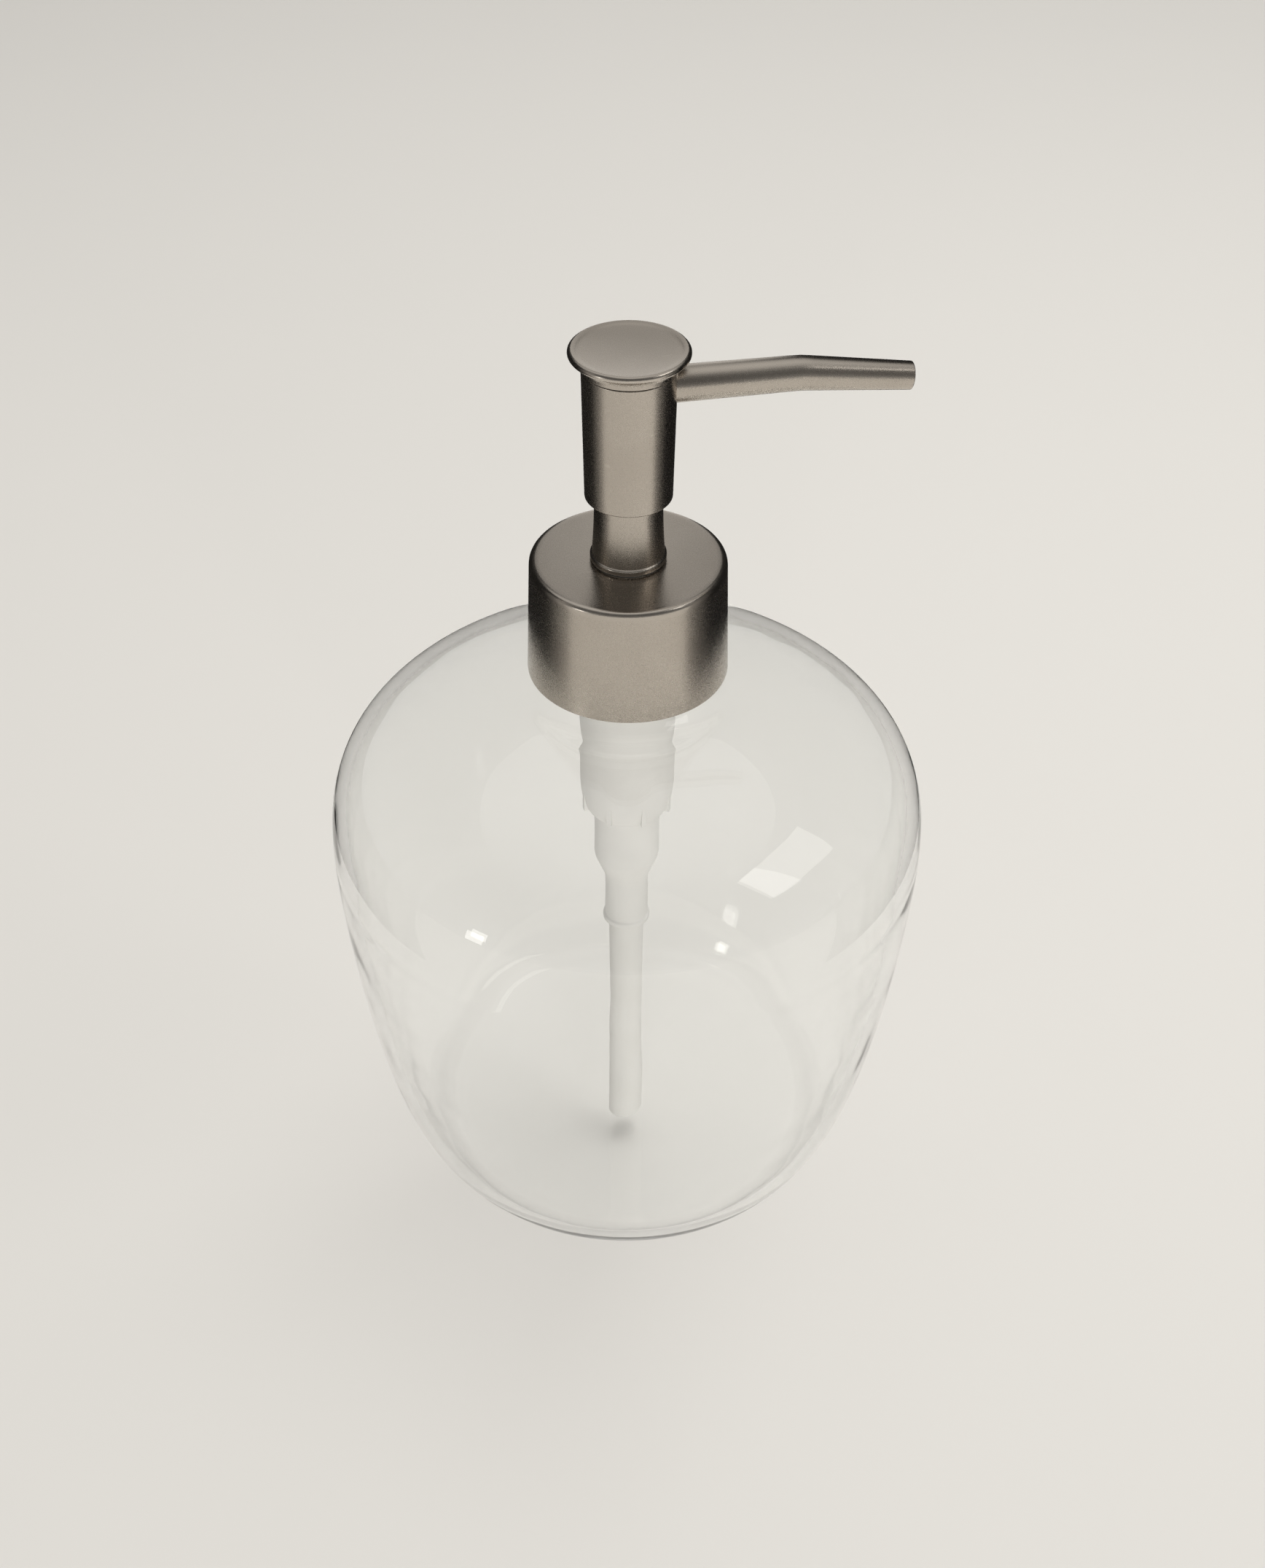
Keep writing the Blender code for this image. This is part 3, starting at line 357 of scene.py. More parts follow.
def cut_away(piece, cutter, operation="DIFFERENCE"):
    """Cuts a helper out of a piece, or joins it on, and shades the result."""
    name = piece.name
    piece.name = name + ".blank"
    modifier = piece.modifiers.new("cut", "BOOLEAN")
    modifier.operation = operation
    modifier.solver = "EXACT"
    modifier.object = cutter
    made = tidy(freeze(name, piece))
    bpy.data.objects.remove(cutter)
    return made


print("profile helpers are ready")

# %% [markdown]
# ## Finishes
# Each finish is a Principled shader. What is the same all over is set on its sockets.
# What varies comes from noise in Object coordinates, so a pattern keeps its real size
# on every piece: a grain of a fifth of a millimetre is the same on the cap and collar.


# %% A finish and its noise
def new_finish(name, **values):
    """A material, its bench, and its Principled shader's node."""
    material = bpy.data.materials.new(name)
    material.use_nodes = True
    bench = Bench(material.node_tree)
    shader = material.node_tree.nodes["Principled BSDF"]
    for label, value in values.items():
        shader.inputs[label.replace("_", " ")].default_value = value
    return material, bench, shader


def feed(bench, shader, label, wire):
    bench.tree.links.new(wire.socket, shader.inputs[label])


def noise(bench, scale, detail=3.0, stretch=None, turned=None, offset=0.0):
    """Noise in Object coordinates, about 0.5 on average. Scale is in waves per metre."""
    spot = bench.node("ShaderNodeTexCoord", None, None, "Object")
    if stretch or turned or offset:
        wires = {"Vector": spot, "Scale": stretch or (1, 1, 1), "Rotation": turned or (0, 0, 0)}
        wires["Location"] = (offset, offset, offset)
        spot = bench.node("ShaderNodeMapping", None, wires)
    wires = {"Vector": spot, "Scale": scale, "Detail": detail}
    return bench.node("ShaderNodeTexNoise", None, wires)


def mix(bench, share, first, second):
    wires = {"Factor_Float": share, "A_Color": first, "B_Color": second}
    return bench.node("ShaderNodeMix", {"data_type": "RGBA"}, wires, "Result_Color")


def bump(bench, height, distance, strength=1.0):
    wires = {"Height": height, "Distance": distance, "Strength": strength}
    return bench.node("ShaderNodeBump", None, wires)


print("noise is set in waves per metre")

# %% [markdown]
# ### Satin nickel
# The metal is nickel plate over a blasted surface. Blasting leaves a grain of fine
# pits that breaks every reflection into a soft gradient, so the roughness is middling
# and the bump is small. Fine hairline scuffs cross it at a slant where hands and
# counters have rubbed. The rounded edges are smoother from wear, and a lighter colour
# on them is a painted highlight.


# %% Satin nickel
nickel, bench, shader = new_finish("satin_nickel_blasted", Metallic=1.0)
GRAIN = 5200
grain = noise(bench, GRAIN, 2.0)
cloud = noise(bench, 90, 3.0)
scratch = noise(bench, 900, 2.0, (0.12, 1.6, 1.0), (0.2, 0.5, 0.9)).smooth(0.66, 0.72)
scratch = scratch * noise(bench, 70, 1.0, offset=0.4).smooth(0.52, 0.68)
edge_wear_and_highlight = bench.node("ShaderNodeAttribute", {"attribute_name": "edge_wear_and_highlight"}, None, "Fac")
tone = mix(bench, cloud.smooth(0.3, 0.7), (0.518, 0.467, 0.411, 1), (0.558, 0.506, 0.448, 1))
# Rounded edges: their lower roughness below is wear, and this lighter colour is a painted highlight.
tone = mix(bench, edge_wear_and_highlight * 0.5, tone, (0.64, 0.59, 0.53, 1))
feed(bench, shader, "Base Color", mix(bench, scratch * 0.22, tone, (0.66, 0.61, 0.55, 1)))
rough = 0.27 + (grain - 0.5) * 0.10 + (cloud - 0.5) * 0.06 - scratch * 0.08 - edge_wear_and_highlight * 0.06
feed(bench, shader, "Roughness", rough)
relief = grain * 0.8 + noise(bench, 12000, 1.0) * 0.4 - scratch * 0.5
feed(bench, shader, "Normal", bump(bench, relief, 0.000012, 0.55))
print("nickel grain is", round(1000 / GRAIN, 2), "mm")

# %% [markdown]
# ### Clear glass
# Soda-lime glass bends light with an index of about 1.5 and is faintly green. A blown and
# moulded bottle isn't optically flat: its wall waves a little, and a used one carries
# an almost invisible film that dulls the mirror here and there.

# %% Clear glass
glass, bench, shader = new_finish("clear_glass_blown", Transmission_Weight=1.0, IOR=1.5)
film = noise(bench, 60, 4.0).smooth(0.55, 0.8)
feed(bench, shader, "Base Color", mix(bench, film * 0.5, (0.992, 0.997, 0.993, 1), (0.985, 0.990, 0.985, 1)))
feed(bench, shader, "Roughness", 0.004 + film * 0.018)
wave = noise(bench, 75, 1.0)
feed(bench, shader, "Normal", bump(bench, wave, 0.00025, 0.35))
print("glass has a film over the parts that were handled")

# %% [markdown]
# ### Plastics, rubber and steel
# The pump's moulded pieces are natural polypropylene, milky and half clear. The dip
# tube is polyethylene with a slightly yellow cast and faint draw lines. The stem, rod
# and screw ring are pigmented white. The seals are soft and dull. Spring wire and ball
# are bright stainless steel with draw marks.


# %% Moulded finishes
def moulded(name, light, dark, roughness, clear=0.0, grain=2500, lines=None, IOR=1.49, **values):
    """A moulded or drawn plastic, mottled between two colours."""
    material, bench, shader = new_finish(name, Transmission_Weight=clear, IOR=IOR, **values)
    mottle = noise(bench, 160, 3.0).smooth(0.25, 0.75)
    skin = noise(bench, grain, 2.0, lines)
    feed(bench, shader, "Base Color", mix(bench, mottle, (*light, 1), (*dark, 1)))
    feed(bench, shader, "Roughness", roughness + (skin - 0.5) * 0.12 + (mottle - 0.5) * 0.06)
    feed(bench, shader, "Normal", bump(bench, skin, 0.00002, 0.4))
    return material


milky = moulded("natural_polypropylene", (0.85, 0.84, 0.81), (0.81, 0.80, 0.77), 0.42, 0.12, IOR=1.35)
tube_milky = moulded(
    "natural_polyethylene", (0.85, 0.84, 0.81), (0.82, 0.81, 0.775), 0.42, 0.12,
    grain=900, lines=(1, 1, 0.06), IOR=1.35,
)
white = moulded("white_polypropylene", (0.80, 0.80, 0.78), (0.76, 0.76, 0.74), 0.42)
rubber = moulded("soft_seal_rubber", (0.74, 0.73, 0.70), (0.66, 0.65, 0.62), 0.62, 0.0, 1800)
steel = moulded("drawn_spring_steel", (0.62, 0.62, 0.61), (0.52, 0.52, 0.51), 0.24, 0.0, 3000, Metallic=1.0)
print("finishes:", [material.name for material in (nickel, glass, milky, tube_milky, white, rubber, steel)])

# %% [markdown]
# ## The glass bottle
# The bottle is blown into a mould: a flat-topped shoulder, a soft widest line, and a
# side that runs in to a small foot ring. Both curves are superellipses, which an
# exponent makes squarer or fuller, so the whole outline follows one rule with a few
# named sizes. The inside is the same curve moved in by the wall's thickness. The dense
# curve is walked at even steps, because a superellipse bunches its points at one end.

# %% Sizes of the bottle
BODY_RADIUS = 0.0509
BODY_HEIGHT = 0.1003
WIDEST_HEIGHT = 0.0692
FOOT_RADIUS = 0.0279
FOOT_RING = 0.0200
PUNT_DEPTH = 0.0012
GLASS_WALL = 0.0024
FLOOR_THICKNESS = 0.0050
NECK_BORE = 0.0097
NECK_RADIUS = 0.01265
SHOULDER_START = 0.0170
NECK_FILLET = 0.0052
MOUTH = 0.1197
MOUTH_EDGE = 0.0006
# How far each superellipse spreads, and how full it is
SHOULDER_CURVE = (1.24, 3.19)
SIDE_CURVE = (1.30, 3.15)
CURVE_STEPS = 500
OUTLINE_SPACING = 0.00085
FILLET_STEPS = 40


def superellipse(steps, low, high, spread, fullness):
    """A quarter superellipse from high (on its end) down to low (at its side)."""
    points = []
    for step in range(steps + 1):
        turn = math.pi / 2 * step / steps
        points.append((math.sin(turn) ** (2 / spread), max(math.cos(turn), 0.0) ** (2 / fullness)))
    return [(low[0] + (high[0] - low[0]) * a, low[1] + (high[1] - low[1]) * b) for a, b in points]


def evenly(points, spacing):
    """The same curve with its points at even steps along it."""
    lengths = [0.0]
    for first, second in zip(points, points[1:]):
        lengths.append(lengths[-1] + (Vector(second) - Vector(first)).length)
    count = max(2, round(lengths[-1] / spacing))
    made = []
    index = 0
    for step in range(count + 1):
        target = lengths[-1] * step / count
        while index < len(points) - 2 and lengths[index + 1] < target:
            index += 1
        share = (target - lengths[index]) / max(lengths[index + 1] - lengths[index], 1e-12)
        made.append(tuple(Vector(points[index]).lerp(Vector(points[index + 1]), share)))
    return made


fillet = []
for step in range(FILLET_STEPS + 1):
    turn = math.pi / 2 * step / FILLET_STEPS
    radius = NECK_RADIUS + (SHOULDER_START - NECK_RADIUS) * (1 - math.cos(turn))
    fillet.append((radius, BODY_HEIGHT + NECK_FILLET * (1 - math.sin(turn))))
widest_low, widest_high = (SHOULDER_START, WIDEST_HEIGHT), (BODY_RADIUS, BODY_HEIGHT)
shoulder = superellipse(CURVE_STEPS, widest_low, widest_high, *SHOULDER_CURVE)
side = superellipse(CURVE_STEPS, (0, 0), (1, 1), *SIDE_CURVE)
side = [(FOOT_RADIUS + (BODY_RADIUS - FOOT_RADIUS) * b, WIDEST_HEIGHT * (1 - a)) for a, b in side]
outline = evenly(fillet + shoulder[1:] + side[1:], OUTLINE_SPACING)
print("bottle outline:", len(outline), "points, widest", round(max(r for r, _ in outline) * 2000, 1), "mm")

# %% [markdown]
# ### The inside of the glass
# The inner curve is the outline moved in along its normals. A Solidify modifier could do
# that, but a blown wall isn't even: it is thicker in the neck, and the base is a pool of
# glass with a soft inner corner and a shallow hollow, the punt, beneath.


# %% The inner curve, the base and the mouth
def wall_at(radius):
    """The neck's wall thins to the body's over the fillet."""
    share = min(max((radius - NECK_RADIUS) / (SHOULDER_START - NECK_RADIUS), 0.0), 1.0)
    return (NECK_RADIUS - NECK_BORE) * (1 - share) + GLASS_WALL * share


inside = []
for before, here, after in zip([outline[0]] + outline, outline, outline[1:] + [outline[-1]]):
    along = (Vector(after) - Vector(before)).normalized()
    wall = wall_at(here[0])
    spot = (here[0] + along.y * wall, here[1] - along.x * wall)
    if spot[1] > FLOOR_THICKNESS + GLASS_WALL:
        inside.append(spot)
corner = inside[-1][0]
floor_bend = [inside[-1], (corner - 0.45 * GLASS_WALL, FLOOR_THICKNESS + 0.05 * GLASS_WALL)]
floor_bend.append((corner - 2.6 * GLASS_WALL, FLOOR_THICKNESS))
first, second, third = (Vector(spot) for spot in floor_bend)
BEND_STEPS = 10
for step in range(1, BEND_STEPS + 1):
    share = step / BEND_STEPS
    inside.append(tuple(first * (1 - share) ** 2 + second * 2 * share * (1 - share) + third * share**2))
floor = [(corner * share, FLOOR_THICKNESS) for share in (0.7, 0.5, 0.3, 0.1)] + [(0.0, FLOOR_THICKNESS)]

punt = [(0.0, PUNT_DEPTH)]
PUNT_STEPS = 12
for step in range(1, PUNT_STEPS + 1):
    share = step / PUNT_STEPS
    punt.append((FOOT_RING * share, PUNT_DEPTH * (0.5 + 0.5 * math.cos(math.pi * share**1.5))))
foot = [(FOOT_RING + (FOOT_RADIUS - FOOT_RING) * share, 0.0) for share in (0.35, 0.7)]
mouth = rounded(
    [(NECK_RADIUS, BODY_HEIGHT + NECK_FILLET), (NECK_RADIUS, MOUTH, MOUTH_EDGE),
     (NECK_BORE, MOUTH, MOUTH_EDGE), (NECK_BORE, BODY_HEIGHT + NECK_FILLET)],
    closed=False, steps=5,
)[1:-1]
profile = [(r, z, 0.0) for r, z in punt + foot + outline[::-1]] + mouth
profile += [(r, z, 0.0) for r, z in inside + floor]
bottle = ring_stack("glass_bottle_blown", profile, glass, 144)

# %% [markdown]
# ## A coil tree for the thread and the spring
# A moulded thread and a coil spring are the same idea: a section carried along a helix.
# The tree has named inputs for the turns, the radius, the rise, the closed end coils and
# how the section grows from nothing at each end. The thread's section is a flat
# half-round, sunk into the neck. The spring's is round wire with ground, closed ends.

# %% The coil tree
coil_inputs = {
    "Turns": ("NodeSocketFloat", 6.5),
    "Radius": ("NodeSocketFloat", 0.0037),
    "Low": ("NodeSocketFloat", 0.0),
    "High": ("NodeSocketFloat", 0.01),
    "End Rise": ("NodeSocketFloat", 0.0),
    "Half Width": ("NodeSocketFloat", 0.0004),
    "Depth": ("NodeSocketFloat", 0.0004),
    "Run Out": ("NodeSocketFloat", 0.1),
    "Rings": ("NodeSocketInt", 300),
    "Sides": ("NodeSocketInt", 12),
    "Finish": ("NodeSocketMaterial", None),
}
bench, given = geometry_tree("coil", coil_inputs)
grid, row, turn = grid_rows(bench, given["Rings"], given["Sides"])
turns = row / (given["Rings"] - 1) * given["Turns"]
left = given["Turns"] - turns
rise = given["High"] - given["Low"] - given["End Rise"] * 2
middle = ((turns - 1) / (given["Turns"] - 2)).most(0.0).least(1.0)
closed = (turns.least(1.0) + (1 - left).most(0.0)) * given["End Rise"]
straight = (given["High"] - given["Low"]) * turns / given["Turns"]
has_ends = given["End Rise"] > 1e-6
height = given["Low"] + (closed + rise * middle) * has_ends + straight * (1 - has_ends)
size = (turns.least(left) / given["Run Out"]).least(1.0)
size = (size * (2 - size)).maths("SQRT", (size * (2 - size)).most(0.0))
reach = given["Radius"] + given["Depth"] * size * turn.maths("COSINE", turn)
level = height + given["Half Width"] * size * turn.maths("SINE", turn)
angle = turns * math.tau
wires = {"X": reach * angle.maths("COSINE", angle), "Y": reach * angle.maths("SINE", angle), "Z": level}
spot = bench.node("ShaderNodeCombineXYZ", None, wires)
skin = bench.node("GeometryNodeSetPosition", None, {"Geometry": grid, "Position": spot})
skin = bench.node("GeometryNodeMergeByDistance", None, {"Geometry": skin, "Distance": WELD})
end_tree(bench, skin, given["Finish"])
coil_tree = bench.tree
print("coil tree:", len(coil_tree.nodes), "nodes")

# %% [markdown]
# ### The thread
# The thread is one low ridge, a little over a turn long, that rises out of the glass and
# sinks back into it. A Screw modifier gives blunt ends, so the coil tree draws the
# ridge, and a Boolean union melts it in.

# %% Thread on the neck
THREAD_PITCH = 0.00423
THREAD_TURNS = 1.25
THREAD_DEPTH = 0.0011
THREAD_HALF_WIDTH = 0.0011
THREAD_RUN_OUT = 0.14
THREAD_DROP = 0.0085


def thread(name, finish, radius, middle):
    """One ridge of a screw thread about a height, fading out at both ends."""
    half = THREAD_PITCH * THREAD_TURNS / 2
    section = {"Half Width": THREAD_HALF_WIDTH, "Depth": THREAD_DEPTH, "Run Out": THREAD_RUN_OUT}
    return tidy(grow(
        name, coil_tree, Turns=THREAD_TURNS, Radius=radius, Low=middle - half, High=middle + half,
        Rings=140, Sides=20, Finish=finish, **section,
    ))


ridge = thread("neck_ridge", glass, NECK_RADIUS, MOUTH - THREAD_DROP)
bottle = cut_away(bottle, ridge, "UNION")
dress(bottle, "bottle", "clear_glass", "glass_bottle")

# %% [markdown]
# ## The collar
# The collar is a shell spun from thin sheet over a moulded screw ring. It flares a
# little towards its open end, its top edge is rolled over a small radius, and the
# open edge is sheared and lightly deburred. Solidify and Bevel would come close, but a
# drawn profile gives each edge a radius of its own and marks it for edge wear and a painted highlight.

# %% Collar and screw ring
COLLAR_TOP = 0.1258
COLLAR_RIM = 0.1053
COLLAR_RADIUS = 0.0158
COLLAR_FLARE = 0.00065
COLLAR_EDGE = 0.0010
SHELL_WALL = 0.0005
NECK_HOLE = 0.0057
SHEET_EDGE = 0.00012
INSERT_ROOT = 0.01405
INSERT_RADIUS = 0.0150
INSERT_RIM = 0.1060
INSERT_LOW = 0.1238
INSERT_TOP = 0.1250
MOULD_EDGE = 0.0002
INSERT_EDGE = 0.0003

rim = COLLAR_RADIUS + COLLAR_FLARE
shell_profile = rounded([
    (NECK_HOLE, COLLAR_TOP, SHEET_EDGE), (COLLAR_RADIUS, COLLAR_TOP, COLLAR_EDGE),
    (rim, COLLAR_RIM, SHEET_EDGE), (rim - SHELL_WALL, COLLAR_RIM, SHEET_EDGE),
    (COLLAR_RADIUS - SHELL_WALL, COLLAR_TOP - SHELL_WALL, COLLAR_EDGE / 2),
    (NECK_HOLE, COLLAR_TOP - SHELL_WALL, SHEET_EDGE),
], steps=6)
collar = ring_stack("collar_shell_spun", shell_profile, nickel, 128)
dress(collar, "closure", "satin_nickel", "collar_shell")

insert_profile = rounded([
    (NECK_HOLE, INSERT_TOP, MOULD_EDGE), (INSERT_RADIUS, INSERT_TOP, COLLAR_EDGE),
    (INSERT_RADIUS + COLLAR_FLARE, INSERT_RIM, MOULD_EDGE), (INSERT_ROOT, INSERT_RIM, INSERT_EDGE),
    (INSERT_ROOT, INSERT_LOW, INSERT_EDGE), (NECK_HOLE, INSERT_LOW, MOULD_EDGE),
])
insert = ring_stack("screw_ring_moulded", insert_profile, white, 96)
ridge = thread("insert_ridge", white, INSERT_ROOT, MOUTH - THREAD_DROP - THREAD_PITCH / 2)
insert = cut_away(insert, ridge, "UNION")
dress(insert, "closure", "white_plastic", "closure_insert")

# %% [markdown]
# ## The neck sleeve
# The sleeve is a fixed tube with a waist and a bead at its foot, turned on a lathe. The
# barrel of the press head slides down over it. The waist is a power curve, steep at the
# foot and almost straight above, which a bevelled cylinder can't follow.

# %% Neck sleeve
SLEEVE_LOW = 0.1261
SLEEVE_TOP = 0.1384
SLEEVE_RADIUS = 0.0054
SLEEVE_BASE = 0.0058
SLEEVE_BEAD = 0.0061
SLEEVE_WALL = 0.0005
BEAD_HEIGHT = 0.0009
BEAD_EDGES = (0.00025, 0.0003)
WAIST_START = 0.0002
WAIST_POWER = 2.2
WAIST_STEPS = 12

bead_top = SLEEVE_LOW + BEAD_HEIGHT
waist = []
for step in range(WAIST_STEPS + 1):
    share = step / WAIST_STEPS
    radius = SLEEVE_RADIUS + (SLEEVE_BASE - SLEEVE_RADIUS) * (1 - share) ** WAIST_POWER
    waist.append((radius, bead_top + WAIST_START + (SLEEVE_TOP - bead_top - WAIST_START) * share))
sleeve_profile = rounded(
    [(SLEEVE_BASE - SLEEVE_WALL, SLEEVE_LOW, SHEET_EDGE), (SLEEVE_BEAD, SLEEVE_LOW, BEAD_EDGES[0]),
     (SLEEVE_BEAD, bead_top, BEAD_EDGES[1])]
    + waist[:-1] + [(*waist[-1], SHEET_EDGE), (waist[-1][0] - SLEEVE_WALL, SLEEVE_TOP, SHEET_EDGE)]
    + [(radius - SLEEVE_WALL, z) for radius, z in waist[-2:0:-1]]
)
sleeve = ring_stack("neck_sleeve_turned", sleeve_profile, nickel, 96)
dress(sleeve, "pump_body", "satin_nickel", "neck_sleeve")

# %% [markdown]
# ## The barrel
# The barrel is a drawn tube, a trifle wider at the top, with a hole in its side for the
# spout. A Boolean drills the hole: faces deleted from the wall would leave it ragged.

# %% Barrel, with the hole for the spout
HEAD_LOW = 0.1375
BARREL_TOP = 0.1594
BARREL_RADIUS = 0.0069
BARREL_TOP_RADIUS = 0.0073
BARREL_WALL = 0.00045
BARREL_EDGE = 0.00025
SPOUT_AXIS = 0.1561
SPOUT_ROOT = 0.00285
SPOUT_FIT = 0.00004

barrel_profile = rounded([
    (BARREL_TOP_RADIUS - BARREL_WALL, BARREL_TOP, SHEET_EDGE), (BARREL_TOP_RADIUS, BARREL_TOP, SHEET_EDGE),
    (BARREL_RADIUS, HEAD_LOW, BARREL_EDGE), (BARREL_RADIUS - BARREL_WALL, HEAD_LOW, SHEET_EDGE),
])
barrel = ring_stack("head_barrel_drawn", barrel_profile, nickel, 96)


def drill(name, finish, radius, start, end, sides=48):
    """A straight cutter from one point to another."""
    start, end = Vector(start), Vector(end)
    turn = (end - start).to_track_quat("Z", "Y").to_matrix()

    def along(distance):
        return start + turn @ Vector((0, 0, distance)), turn.col[0].copy(), turn.col[1].copy()

    points = [(0, 0, 0), (radius, 0, 0), (radius, (end - start).length, 0), (0, (end - start).length, 0)]
    return ring_stack(name, points, finish, sides, along)


hole_start, hole_end = (0.004, 0, SPOUT_AXIS), (0.009, 0, SPOUT_AXIS)
hole = drill("spout_hole", nickel, SPOUT_ROOT + SPOUT_FIT, hole_start, hole_end)
barrel = cut_away(barrel, hole)
dress(barrel, "head", "satin_nickel", "head_barrel")

# %% [markdown]
# ## The cap
# The cap is a turned disc with a full round rim, a shallow dish for the finger, and a
# cove down to the barrel. Each curve has its own rule: a power, a half circle and a
# quarter round. A Bevel modifier makes convex edges only.

# %% Cap
CAP_LOW = 0.1597
CAP_TOP = 0.1627
CAP_RADIUS = 0.0093
CAP_RIM = 0.0012
CAP_DISH = 0.0008
CAP_COVE = 0.00025
CAP_SHEET = 0.0009
CAP_SKIRT_WALL = 0.0011
DISH_POWER = 2.2
DISH_RINGS = (0, 0.15, 0.3, 0.45, 0.58, 0.7, 0.8, 0.87)
RIM_STEPS = 16
COVE_STEPS = 10
COVE_SHARE = 0.98
SKIRT_EDGE = 0.0001

skirt = BARREL_TOP_RADIUS + CAP_COVE
half = CAP_RIM / 2
rim_low = CAP_TOP - CAP_RIM
face = [(CAP_RADIUS * share, CAP_TOP - CAP_DISH * (1 - share**DISH_POWER)) for share in DISH_RINGS]
edge = []
for step in range(RIM_STEPS + 1):
    turn = math.pi * step / RIM_STEPS
    edge.append((CAP_RADIUS - half + half * math.sin(turn), CAP_TOP - half + half * math.cos(turn)))
cove = []
for step in range(1, COVE_STEPS + 1):
    turn = math.pi / 2 * step / COVE_STEPS
    reach = (edge[-1][0] - skirt) * (1 - math.sin(turn))
    cove.append((skirt + reach, rim_low - (rim_low - CAP_LOW) * (1 - math.cos(turn)) * COVE_SHARE))
ceiling = CAP_TOP - CAP_DISH - CAP_SHEET
cap_profile = [(r, z, 0.0) for r, z in face]
# The round rim is marked all over for edge wear and the nickel's painted highlight.
cap_profile += [(r, z, math.sin(math.pi * i / RIM_STEPS)) for i, (r, z) in enumerate(edge)]
cap_profile += [(r, z, 0.0) for r, z in cove]
cap_profile += rounded([
    cove[-1], (skirt, CAP_LOW, SKIRT_EDGE), (skirt - CAP_SKIRT_WALL, CAP_LOW, SKIRT_EDGE),
    (skirt - CAP_SKIRT_WALL, ceiling, 0.0003), (0, ceiling),
], closed=False)[1:]
cap = ring_stack("head_cap_turned", cap_profile, nickel, 128)
dress(cap, "head", "satin_nickel", "head_cap")

# %% [markdown]
# ## The spout
# The spout is a tapered tube with one slight bend. Its path runs level, follows a short
# arc and then falls away, and the ring stack follows it: the profile is drawn along
# the path's length instead of a straight axis. A plastic liner sits inside it, set
# back from the end, so the mouth shows a thin metal rim with a darker bore.

# %% Spout and liner
SPOUT_SLOPE = math.radians(6.9)
SPOUT_BEND_AT = 0.0264
SPOUT_SWEEP = 0.0080
SPOUT_REACH = 0.04396
SPOUT_START = 0.0064
SPOUT_BEND = 0.00268
SPOUT_TIP = 0.0022
SPOUT_WALL = 0.0004
SPOUT_EDGE = 0.00014
LINER_WALL = 0.0006
LINER_START = 0.0036
LINER_SET_BACK = 0.0006
LINER_CLEARANCE = 0.0003
LINER_EDGE = 0.0001

arc_start = SPOUT_BEND_AT - SPOUT_SWEEP * math.tan(SPOUT_SLOPE / 2)
arc_end = arc_start + SPOUT_SWEEP * SPOUT_SLOPE


def spout_path(distance):
    """Where the spout's axis is at a distance along it, and its level and upright arrows."""
    turn = min(max((distance - arc_start) / SPOUT_SWEEP, 0.0), SPOUT_SLOPE)
    x = min(distance, arc_start) + SPOUT_SWEEP * math.sin(turn)
    z = SPOUT_AXIS - SPOUT_SWEEP * (1 - math.cos(turn))
    past = max(distance - arc_end, 0.0)
    spot = Vector((x + past * math.cos(turn), 0, z - past * math.sin(turn)))
    return spot, Vector((0, 1, 0)), Vector((math.sin(turn), 0, math.cos(turn)))


tip = arc_end + (SPOUT_REACH - spout_path(arc_end)[0].x) / math.cos(SPOUT_SLOPE)


def spout_radius(distance):
    if distance < SPOUT_BEND_AT:
        share = max(distance - BARREL_RADIUS, 0.0) / (SPOUT_BEND_AT - BARREL_RADIUS)
        return SPOUT_ROOT + (SPOUT_BEND - SPOUT_ROOT) * share
    return SPOUT_BEND + (SPOUT_TIP - SPOUT_BEND) * (distance - SPOUT_BEND_AT) / (tip - SPOUT_BEND_AT)


def pipe_profile(start, end, inset, wall, edge, steps=30):
    """A pipe's section along its path as (radius, distance) corners."""
    stops = [start + (end - start) * step / steps for step in range(steps + 1)]
    outer = [(spout_radius(s) - inset, s) for s in stops]
    inner = [(spout_radius(s) - inset - wall, s) for s in stops[::-1]]
    outer[-1] += (edge,)
    inner[0] += (edge,)
    return rounded(outer + inner)


spout_profile = pipe_profile(SPOUT_START, tip, 0, SPOUT_WALL, SPOUT_EDGE)
spout = ring_stack("spout_drawn", spout_profile, nickel, 64, spout_path)
dress(spout, "head", "satin_nickel", "spout")
liner_inset = SPOUT_WALL + LINER_CLEARANCE
liner_profile = pipe_profile(LINER_START, tip - LINER_SET_BACK, liner_inset, LINER_WALL, LINER_EDGE)
liner = ring_stack("spout_liner_moulded", liner_profile, milky, 48, spout_path)
dress(liner, "head", "natural_plastic", "spout_liner")

# %% [markdown]
# ## The pump housing
# The housing is a moulded barrel that swells towards a step, with a narrower section, a
# cone and a spigot below it. Outside and bore are one closed profile, so the wall has
# its true thickness all the way down, which a Solidify of one thickness can't give.

# %% Housing profile
FLANGE_TOP = 0.1224
FLANGE_LOW = 0.1212
FLANGE_RADIUS = 0.01225
HOUSING_BORE = 0.0066
HOUSING_RADIUS = 0.0075
BELLY_RADIUS = 0.0080
BELLY_RISE = 0.0068
STEP = 0.0751
CONE = 0.0645
SPIGOT = 0.0595
SPIGOT_END = 0.0489
LOWER_BORE = 0.0046
LOWER_RADIUS = 0.0056
STEP_FOOT = 0.0065
SPIGOT_RADIUS = 0.00375
SPIGOT_BEAD = 0.0041
SPIGOT_BEAD_RISE = 0.0015
TUBE_SOCKET = 0.00325
SEAT_HOLE = 0.0015
SEAT_LOW = 0.0632
SEAT_HIGH = 0.0680
BORE_FLOOR = 0.0779
BORE_LEAD_IN = 0.0009
BARREL_DRAFT = 0.00015
